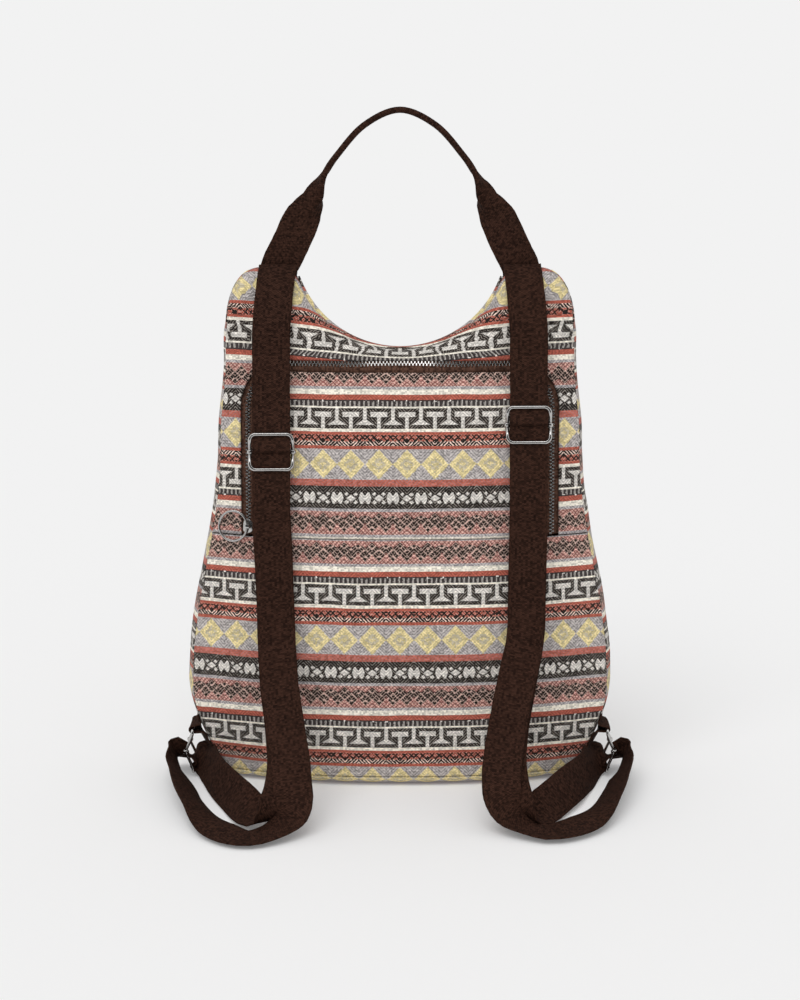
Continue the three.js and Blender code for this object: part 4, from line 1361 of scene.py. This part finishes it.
class StrapStations:
    """Stations of the shoulder straps: outward X, Y, Z and the direction across, as the solids have them."""

    LEFT_OUT = (
        (102, -57.5, 190, -1, 0, 0), (100.5, -61.5, 155, -1, 0, 0), (99.5, -66, 126, -1, 0, 0),
        (97, -82, 97, -1, 0, 0), (91.5, -108, 71, -1, 0, 0), (86, -134, 50, -1, 0, 0),
        (83.5, -152, 36, -1, 0, 0), (82, -164, 23, -0.97, -0.2, 0), (86, -173, 12, -0.8, -0.6, 0),
        (101, -185, 6, -0.3, -0.95, 0), (119.5, -191, 4.5, 0.1, -1, 0), (141, -172, 5.5, 0.6, -0.8, 0),
        (157, -138, 8.2, 0.75, -0.48, 0.46), (169.5, -104, 10.5, 0.72, -0.31, 0.62),
        (176.5, -76, 12.3, 0.68, -0.2, 0.71),
    )
    LEFT_BACK = (
        (147, -83, 14.8, 0.32, -0.25, -0.92), (126, -129, 12.5, 0.5, -0.42, -0.75),
        (111, -155, 8.5, 0.75, -0.55, -0.25), (103, -164, 8, 0.8, -0.6, 0), (96.5, -165, 16, 0.9, -0.4, 0),
        (90.5, -154, 29, 1, -0.05, 0), (89, -131, 47, 1, 0, 0), (92.5, -103.5, 66.5, 1, 0, 0),
        (97.5, -77.5, 92.5, 1, 0, 0), (100, -62, 125, 1, 0, 0), (101, -57.8, 155, 1, 0, 0),
        (102, -53.6, 190, 1, 0, 0), (103.5, -49, 225, 1, 0, 0),
    )
    RIGHT_OUT = (
        (103, -57.5, 190, -1, 0, 0), (102.5, -61.5, 155, -1, 0, 0), (101, -66, 126, -1, 0, 0),
        (93.5, -82, 97, -1, 0, 0), (86, -108, 71, -1, 0, 0), (80.5, -134, 50, -1, 0, 0),
        (78.5, -150, 36, -1, 0, 0), (80, -161, 22, -0.95, -0.3, 0), (88, -168, 11, -0.75, -0.65, 0),
        (103, -176, 5.5, -0.3, -0.95, 0), (118, -180, 4.5, 0.1, -1, 0), (144, -161, 6, 0.6, -0.8, 0),
        (164, -121, 9.2, 0.74, -0.4, 0.54), (176.5, -80, 12.2, 0.68, -0.2, 0.71),
    )
    RIGHT_BACK = (
        (153, -64, 14.8, 0.32, -0.25, -0.92), (135.5, -106, 17, 0.45, -0.4, -0.8),
        (116, -137, 12.5, 0.58, -0.45, -0.68), (103.5, -150, 8.5, 0.75, -0.6, -0.25),
        (96.5, -156, 8, 0.8, -0.6, 0), (91, -157, 16, 0.9, -0.4, 0),
        (86, -150, 29, 1, -0.05, 0), (84, -131, 47, 1, 0, 0), (87.5, -103.5, 66.5, 1, 0, 0),
        (94.5, -77.5, 92.5, 1, 0, 0), (101.5, -62, 125, 1, 0, 0), (102.5, -57.8, 155, 1, 0, 0),
        (103, -53.6, 190, 1, 0, 0), (103.5, -49, 225, 1, 0, 0),
    )
    RING_PASSAGE = (
        (10.8, -32, -27.6, 0.6, -0.16, 0.78), (13.8, -19, -26, 0.3, -0.27, 0.92),
        (15, -10, -25.2, 0.25, -0.55, 0.8),
        (14.8, -4.4, -24.6, 0.12, -0.7, 0.7), (13.2, -1, -24.9, 0.02, -0.78, 0.62),
        (11, 0, -25.9, 0, -0.86, 0.5),
        (8.4, 0, -26.6, 0, -0.89, 0.455), (5.6, 0, -26.9, 0, -0.89, 0.455), (3.1, 0, -26.8, 0, -0.93, 0.36),
        (0.6, 0, -26.4, 0, -0.99, 0.12), (-1.9, 0, -25.9, 0, -0.97, -0.22),
        (-3.8, -0.2, -25.3, 0.04, -0.92, -0.4),
        (-6.2, -1.6, -25.4, 0.15, -0.84, -0.52), (-8.8, -5.5, -25.6, 0.28, -0.68, -0.68),
        (-11, -12, -25.9, 0.33, -0.48, -0.81), (-14, -24, -26, 0.33, -0.33, -0.88),
    )


@dataclass
class Webbing:
    """Shoulder straps, ring tabs and carry handle, all of one brown webbing."""

    dresser: Dresser
    at_ear: float = 99.0
    at_adjuster: float = 103.5
    seat: float = 10.4
    line_top: float = 402.0
    line_low: float = 222.0
    run_in: float = 12.0
    thick: float = 1.3
    gap: float = 0.3
    ring_bar: Vector = Vector((172.373, -20.0, 41.0))
    wire: float = 1.25
    handle_top: float = 549.0
    tab_top: float = 53.0
    tab_low: float = 12.0
    tab_lean: float = 0.34
    tab_top_lean: float = 0.1
    tab_reach: float = 14.0
    side_clear: float = 1.0

    def build(self) -> None:
        """Makes and finishes each strip."""
        for side in Side:
            strap = Ribbon.through(f"strap_{side.word}", self.strap_stations(side), step=5.0)
            nodes = [f"shoulder_strap_{side.word}"]
            self.dresser.strip(strap.build(), strap.length, strap.width, "bag", nodes, "hung")
            tab = Ribbon.through(f"tab_{side.word}", self.tab_stations(side), step=2.0)
            self.dresser.strip(tab.build(), tab.length, tab.width, "bag", [f"ring_tab_{side.word}"], "folded")
        handle = self.handle()
        self.dresser.strip(handle.build(), handle.length, handle.width, "bag", ["carry_handle"], "folded")

    def strap_line(self, z: float) -> float:
        """Depth of the strap's straight run at a height."""
        inner = self.at_adjuster - Ribbon.width / 2 - self.side_clear - 2 * self.wire

        def place(at: float) -> float:
            """Depth clear of the panel at a height."""
            return -FORM.half_depth(inner, at) - self.seat + self.thick

        share = (z - self.line_low) / (self.line_top - self.line_low)
        return lerp(place(self.line_low), place(self.line_top), share)

    def strap_stations(self, side: Side) -> list[tuple[float, ...]]:
        """Stations of one whole strap, from the ear to its end behind itself.

        Args:
            side: Which strap.

        Returns:
            The stations on that side of the bag.
        """
        ear, layer, lift = FORM.ear_height, -(self.thick + self.gap) / 2, self.gap + self.thick / 2
        head = [
            (self.at_ear, layer, ear - 15), (self.at_ear, layer, ear - 2.5),
            (self.at_ear, layer - 0.4, ear + lift),
            (self.at_ear, layer - 3.4, ear + lift + 1.4), (self.at_ear + 0.2, layer - 9.6, ear - 0.6),
            (self.at_ear + 1.1, layer - 16.6, ear - 10), (self.at_ear + 2.4, layer - 22.0, ear - 22),
            (self.at_ear + 3.6, layer - 26.1, ear - 36),
        ]
        heights = (self.line_top - 32, self.line_top - 45, self.line_low + self.run_in, self.line_low)
        head += [(self.at_adjuster, self.strap_line(z), z) for z in heights]
        left = side is Side.LEFT
        out = StrapStations.LEFT_OUT if left else StrapStations.RIGHT_OUT
        back = StrapStations.LEFT_BACK if left else StrapStations.RIGHT_BACK
        ring = [(*(self.ring_bar + Vector(spot[:3])), *spot[3:]) for spot in StrapStations.RING_PASSAGE]
        whole = [*((*spot, -1, 0, 0) for spot in head), *out, *ring, *back]
        return side.mirror(whole)

    def tab_stations(self, side: Side) -> list[tuple[float, ...]]:
        """Stations of one ring tab, sewn to the gusset and looped round the ring's top bar.

        Args:
            side: Which tab.

        Returns:
            The stations on that side of the bag.
        """

        def seat(z: float, lean: float) -> tuple[float, ...]:
            """A station of the tab on the gusset, its near edge on the seam."""
            return FORM.side_half_width(z) + self.tab_reach * lean, self.ring_bar.y, z, lean, 1, 0

        bar, round_bar = self.ring_bar, self.wire + 1.5 * self.gap + self.thick / 2
        spots = [seat(z, self.tab_top_lean) for z in (self.tab_top, self.tab_top - 3.5, bar.z + 5)]
        for angle in (95, 60, 25, -10, -45, -80, -110):
            turn = math.radians(angle)
            x, z = bar.x + round_bar * math.cos(turn), bar.z + round_bar * math.sin(turn)
            spots.append((x, bar.y, z, 0, 1, 0))
        spots += [seat(z, self.tab_lean) for z in (bar.z - 4.5, bar.z - 10, bar.z - 18, self.tab_low)]
        return side.mirror(spots)

    def handle(self) -> FoldedRibbon:
        """The carry handle: flat out of each ear, turned a quarter and folded double along its grip."""
        layer = (self.thick + self.gap) / 2
        ear = (FORM.ear_height + FORM.ear_inner_height) / 2
        rise = self.handle_top - 2.0 - ear
        half = (
            (0, 1, 1, 1), (0.293, 0.905, 1, 1), (0.515, 0.72, 1, 1), (0.605, 0.62, 1, 1),
            (0.643, 0.565, 0.82, 1), (0.661, 0.54, 0.66, 0.95), (0.683, 0.51, 0.42, 0.82),
            (0.707, 0.475, 0.12, 0.62), (0.731, 0.44, 0.04, 0.44), (0.767, 0.385, 0, 0.29),
            (0.803, 0.33, 0, 0.12), (0.842, 0.265, 0, 0.03), (0.88, 0.2, 0, 0),
            (0.945, 0.1, 0, 0), (0.985, 0.04, 0, 0), (1, -0.02, 0, 0), (1, -0.1, 0, 0),
        )
        right = [(reach * self.at_ear, ear + share * rise, turn, fold) for reach, share, turn, fold in half]
        spots = [(-x, z, turn, fold) for x, z, turn, fold in reversed(right[1:])] + right
        centres, acrosses, folds = [], [], []
        for k, (x, z, turn, fold) in enumerate(spots):
            before, after = spots[max(k - 1, 0)], spots[min(k + 1, len(spots) - 1)]
            flat = Vector((before[1] - after[1], 0, after[0] - before[0])).normalized()
            flat *= -math.cos(turn * math.pi / 2)
            centres.append(Vector((x, lerp(layer, 0, turn), z)))
            acrosses.append((flat - Vector((0, math.sin(turn * math.pi / 2), 0))).normalized())
            folds.append(Vector((fold, 0, 0)))
        spans = [max(2, round((end - start).length / 4)) for start, end in zip(centres, centres[1:])]
        shares = [spot.x for spot in smooth_line(folds, spans)]
        return FoldedRibbon(
            "handle", smooth_line(centres, spans), smooth_line(acrosses, spans), columns=28, cup=0.0,
            folds=shares,
        )


def wire_object(name: str, points: Sequence[Vector], radius: float, place: Matrix, closed: bool) -> Piece:
    """Bends a round wire along points.

    Args:
        name: Name of the piece.
        points: The wire's centre line, in its own frame.
        radius: Radius of the wire.
        place: Where the frame stands.
        closed: Whether the wire's ends meet.

    Returns:
        The wire as a mesh.
    """
    curve = bpy.data.curves.new(name, "CURVE")
    curve.dimensions = "3D"
    curve.bevel_depth = radius * MM
    curve.bevel_resolution = 4
    curve.use_fill_caps = not closed
    line = curve.splines.new("POLY")
    line.points.add(len(points) - 1)
    line.use_cyclic_u = closed
    for knot, point in zip(line.points, points):
        knot.co = (*(place @ (point * MM)), 1.0)
    route = show(bpy.data.objects.new(name, curve))
    view = bpy.context.evaluated_depsgraph_get()
    mesh = bpy.data.meshes.new_from_object(route.evaluated_get(view))
    bpy.data.objects.remove(route)
    bpy.data.curves.remove(curve)
    mesh.name = name
    for polygon in mesh.polygons:
        polygon.use_smooth = True
    return show(bpy.data.objects.new(name, mesh))


@dataclass
class WireSlider:
    """A bent wire frame with an eyed centre bar, used as strap adjuster and as strap ring."""

    name: str
    body: str
    nodes: tuple[str, str]
    place: Matrix
    half_height: float
    lift: float
    drop: float
    shift: float = 0.0
    half_width: float = 17.25
    corner: float = 3.4
    wire: float = 1.25
    bar: float = 1.0
    eye_height: float = 3.2
    eye_bore: float = 1.5
    eye_wall: float = 0.4
    eye_squeeze: float = 0.45
    side_curve: float = 1.2
    SIDE_SHARES = (0.35, 0.65, 0.85, 1.0)

    def route(self) -> list[Vector]:
        """Centre line of the frame, with round corners and sides bent back round the bar."""
        points = []
        for turn in (1, -1):
            for k in range(7):
                angle = math.pi / 2 - k / 6 * math.pi / 2
                x = self.half_width - self.corner + self.corner * math.cos(angle)
                y = self.half_height - self.corner + self.corner * math.sin(angle)
                points.append(Vector((turn * x, turn * y, self.lift)))
            for way, shares in ((turn, self.SIDE_SHARES), (-turn, self.SIDE_SHARES[::-1])):
                for share in shares:
                    y = lerp(self.half_height - self.corner, self.eye_height / 2, share)
                    z = lerp(self.lift, -self.drop, share**self.side_curve)
                    points.append(Vector((turn * self.half_width, way * y, z)))
            for k in range(6):
                angle = -k / 6 * math.pi / 2
                x = self.half_width - self.corner + self.corner * math.cos(angle)
                y = self.half_height - self.corner - self.corner * math.sin(angle)
                points.append(Vector((turn * x, -turn * y, self.lift)))
        return [point + Vector((0, self.shift, 0)) for point in points]

    def bar_object(self) -> Piece:
        """The centre bar with an eye round each side wire."""
        bm = bmesh.new()
        bmesh.ops.create_cone(
            bm, cap_ends=True, segments=16, radius1=self.bar * MM, radius2=self.bar * MM,
            depth=2 * (self.half_width - self.eye_bore) * MM, matrix=Matrix.Rotation(math.pi / 2, 4, "Y"),
        )
        for side in Side:
            ring = bmesh.ops.create_circle(bm, segments=12, radius=self.eye_height / 2 * MM)["verts"]
            squeeze = Matrix.Diagonal((self.eye_squeeze, 1, 1, 1))
            spot = Matrix.Translation(((self.eye_bore + self.eye_wall) * MM, 0, 0))
            bmesh.ops.transform(bm, matrix=spot @ Matrix.Rotation(math.pi / 2, 4, "X") @ squeeze, verts=ring)
            bmesh.ops.transform(bm, matrix=Matrix.Rotation(math.pi / 2, 4, "X"), verts=ring)
            edges = {edge for vert in ring for edge in vert.link_edges}
            bmesh.ops.spin(
                bm, geom=list(edges), cent=(0, 0, 0), axis=(0, 1, 0), angle=math.tau, steps=20, use_merge=True
            )
            self.shift_eye(bm, side)
        bmesh.ops.recalc_face_normals(bm, faces=bm.faces[:])
        move(bm, self.place @ Matrix.Translation((0, self.shift * MM, -self.drop * MM)))
        return new_object(f"{self.name}_bar", bm)

    def shift_eye(self, bm: BMesh, side: Side) -> None:
        """Moves the eye made last from the middle to its side wire."""
        reach = (self.eye_bore + 1.4) * MM
        eye = [vert for vert in bm.verts if vert.co.length < reach * 1.2 and len(vert.link_faces) == 4]
        eye = [vert for vert in eye if math.hypot(vert.co.x, vert.co.z) > (self.bar + 0.05) * MM]
        bmesh.ops.translate(bm, verts=eye, vec=(side.value * self.half_width * MM, 0, 0))

    def build(self, dresser: Dresser) -> None:
        """Makes and finishes the frame and its bar."""
        loop = wire_object(f"{self.name}_frame", self.route(), self.wire, self.place, closed=True)
        dresser.wire(loop, self.body, self.nodes[0])
        dresser.wire(self.bar_object(), self.body, self.nodes[1])


@dataclass
class Fittings:
    """Both strap adjusters with the sewn strap ends, and both strap rings."""

    dresser: Dresser
    webbing: Webbing
    heights: tuple[float, float] = (276.5, 298.0)
    adjuster_height: float = 31.0
    ring_height: float = 39.0
    ring_bend: float = 5.5
    bar_lift: float = 2.2
    bar_drop: float = 3.35
    end_tail: float = 18.0
    end_pinch: float = 6.0
    end_flat: float = 0.2
    bar_ease: float = 0.1
    adjuster_wire: float = 1.45
    adjuster_corner: float = 5.0

    def build(self) -> None:
        """Makes and finishes each fitting."""
        for side, height in zip(Side, self.heights):
            self.adjuster(side, height)
            self.ring(side)

    def strap_place(self, side: Side, height: float) -> Matrix:
        """The frame of an adjuster: X right, Y up the strap and Z away from the bag."""
        low, top = self.webbing.line_low, self.webbing.line_top
        up = Vector((0, self.webbing.strap_line(top) - self.webbing.strap_line(low), top - low)).normalized()
        right = Vector((1, 0, 0))
        turn = Matrix((right, up, right.cross(up))).transposed().to_4x4()
        spot = Vector((side.value * self.webbing.at_adjuster, self.webbing.strap_line(height), height))
        return Matrix.Translation(spot * MM) @ turn

    def adjuster(self, side: Side, height: float) -> None:
        """Makes one adjuster, the strap end sewn round its bar and the strap that rolls over the bar."""
        word, place = side.word, self.strap_place(side, height)
        body = f"adjuster_{word}"
        nodes = (f"adjuster_frame_{word}", f"adjuster_bar_{word}")
        half_height = self.adjuster_height / 2 - WireSlider.wire
        slider = WireSlider(f"adjuster_{word}", body, nodes, place, half_height, self.bar_lift, self.bar_drop)
        slider.wire, slider.corner = self.adjuster_wire, self.adjuster_corner
        slider.build(self.dresser)
        self.lay_strip(f"strap_end_{word}_loop", self.end_stations(), place, body, [f"strap_end_{word}"])
        self.lay_strip(f"strap_roll_{word}", self.roll_stations(), place, body, [])

    def lay_strip(
        self, name: str, stations: Sequence[tuple[float, float]], place: Matrix, body: str,
        nodes: Sequence[str],
    ) -> None:
        """Lays a short strip of webbing in an adjuster's frame.

        Args:
            name: Name of the piece.
            stations: Y and Z of its centre line in the frame.
            place: The frame.
            body: Body that it moves with.
            nodes: Solids that it stands for.
        """
        turn = place.to_3x3()
        origin = place.translation / MM
        across = turn @ Vector((1, 0, 0))
        spots = [(*(origin + turn @ Vector((0, y, z))), *across) for y, z in stations]
        strip = Ribbon.through(name, spots, step=1.5)
        strip.cup = 0.0
        self.dresser.strip(strip.build(), strip.length, strip.width, body, nodes, "folded")

    def end_stations(self) -> list[tuple[float, float]]:
        """The loop round the centre bar with its doubled tail."""
        around = WireSlider.bar + self.bar_ease + self.webbing.thick / 2
        apart = self.webbing.thick / 2 + self.webbing.gap
        spots = [(-self.end_tail, apart), (-self.end_pinch, around - self.end_flat)]
        for angle in range(0, 181, 30):
            turn = math.radians(angle)
            spots.append((around * math.sin(turn), around * math.cos(turn)))
        spots += [(-self.end_pinch, self.end_flat - around), (-self.end_tail, -apart)]
        return [(y, z - self.bar_drop) for y, z in spots]

    def roll_stations(self) -> list[tuple[float, float]]:
        """The strap where it rolls over the centre bar, from behind the top wire to behind the low one."""
        return [
            (19, 0), (16.5, 0), (14.25, 0.05), (11.5, 0.7), (8, 1.9), (5, 3.0), (2.6, 3.5), (1, 3.3),
            (0.3, 2.4), (0, 1.2), (-0.4, 0.2), (-2, -0.5), (-6, -0.5), (-14.25, -0.5), (-19, -0.5),
        ]

    def ring(self, side: Side) -> None:
        """Makes one strap ring, hung by its top bar in the tab."""
        word, bar = side.word, self.webbing.ring_bar
        up, inward = Vector((0, 0, 1)), Vector((-side.value, 0, 0))
        turn = Matrix((up.cross(inward), up, inward)).transposed().to_4x4()
        place = Matrix.Translation(Vector((side.value * bar.x, bar.y, bar.z)) * MM) @ turn
        half_height = self.ring_height / 2 - WireSlider.wire
        nodes = (f"strap_ring_{word}", f"ring_bar_{word}")
        ring = WireSlider(f"ring_{word}", f"ring_{word}", nodes, place, half_height, 0.0, self.ring_bend)
        ring.shift = -half_height
        ring.build(self.dresser)


@dataclass
class Studio:
    """A pale seamless floor, even soft light and the camera."""

    backdrop: Colour = linear(242, 242, 242)
    sky: float = 0.62
    sun_strength: float = 1.25
    sun_tilt: float = 38.0
    sun_turn: float = -18.0
    sun_size: float = 50.0
    floor_glow: float = 0.15
    eye: tuple[float, float, float] = (0.0, -1.64, 0.54)
    pitch: float = 10.75
    focal_pixels: float = 2010.0
    image_height: float = 1000.0
    sensor: float = 36.0
    far_clip: float = 200.0
    floor_size: float = 30.0
    card_size: float = 2.8
    card_spot: tuple[float, float, float] = (0.0, -2.6, 1.6)
    card_shade: float = 0.01

    def build(self) -> None:
        """Sets up floor, light and camera."""
        self.floor()
        self.dark_card()
        self.world()
        self.sun()
        self.camera()
        bpy.context.scene.view_settings.view_transform = "Standard"

    def floor(self) -> None:
        """The floor, of the shade that this light shows as the backdrop's."""
        bm = bmesh.new()
        bmesh.ops.create_grid(bm, x_segments=2, y_segments=2, size=self.floor_size)
        floor = new_object("floor", bm)
        sheet = Sheet("floor_paper", roughness=1.0, specular=0.0)
        light = self.sky + self.sun_strength * math.cos(math.radians(self.sun_tilt)) / math.pi
        shade = tuple(channel / light for channel in self.backdrop)
        seen = sheet.tree.nodes.new("ShaderNodeLightPath").outputs["Is Camera Ray"]
        glow = Field(sheet.tree, seen) * self.floor_glow
        sheet.paint(glow.blend(shade, (0.0, 0.0, 0.0)))
        sheet.shader.inputs["Emission Color"].default_value = (*self.backdrop, 1.0)
        sheet.tree.links.new(glow.socket, sheet.shader.inputs["Emission Strength"])
        floor.data.materials.append(sheet.material)

    def dark_card(self) -> None:
        """A dark card behind the camera, which only polished metal mirrors."""
        bm = bmesh.new()
        bmesh.ops.create_grid(bm, x_segments=1, y_segments=1, size=self.card_size)
        move(bm, Matrix.Translation(self.card_spot) @ Matrix.Rotation(math.pi / 2, 4, "X"))
        card = new_object("dark_card", bm)
        sheet = Sheet("dark_felt", roughness=1.0, specular=0.0)
        sheet.shader.inputs["Base Color"].default_value = (*[self.card_shade] * 3, 1.0)
        card.data.materials.append(sheet.material)
        card.visible_camera = card.visible_diffuse = card.visible_shadow = card.visible_transmission = False

    def world(self) -> None:
        """Even sky light, and the backdrop's shade for what looks straight at it."""
        world = bpy.data.worlds.new("studio")
        bpy.context.scene.world = world
        world.use_nodes = True
        tree = world.node_tree
        tree.nodes.clear()
        rays = tree.nodes.new("ShaderNodeLightPath")
        seen = Field(tree, rays.outputs["Is Camera Ray"]) | Field(tree, rays.outputs["Is Glossy Ray"])
        seen = seen | Field(tree, rays.outputs["Is Transmission Ray"])
        shade = seen.blend((self.sky, self.sky, self.sky), self.backdrop)
        light = tree.nodes.new("ShaderNodeBackground")
        out = tree.nodes.new("ShaderNodeOutputWorld")
        tree.links.new(shade, light.inputs["Color"])
        tree.links.new(light.outputs[0], out.inputs["Surface"])

    def sun(self) -> None:
        """A broad soft key light from above and in front."""
        lamp = bpy.data.lights.new("key", "SUN")
        lamp.energy = self.sun_strength
        lamp.angle = math.radians(self.sun_size)
        key = bpy.data.objects.new("key", lamp)
        key.rotation_euler = (math.radians(self.sun_tilt), 0.0, math.radians(self.sun_turn))
        show(key)

    def camera(self) -> None:
        """The camera at the photograph's place and angle."""
        lens = bpy.data.cameras.new("camera")
        lens.sensor_fit = "VERTICAL"
        lens.sensor_height = self.sensor
        lens.lens = self.focal_pixels / self.image_height * lens.sensor_height
        lens.clip_end = self.far_clip
        camera = bpy.data.objects.new("camera", lens)
        camera.location = self.eye
        camera.rotation_euler = (math.radians(90.0 - self.pitch), 0.0, 0.0)
        bpy.context.scene.camera = show(camera)


def main() -> None:
    """Builds the studio and the bag."""
    logging.basicConfig(level=logging.INFO)
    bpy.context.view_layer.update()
    Studio().build()
    dresser = Dresser(Finishes.make())
    webbing = Webbing(dresser)
    webbing.build()
    Fittings(dresser, webbing).build()
    Zip(dresser).build()
    WovenPanels(dresser).build()


if __name__ == "__main__":
    main()
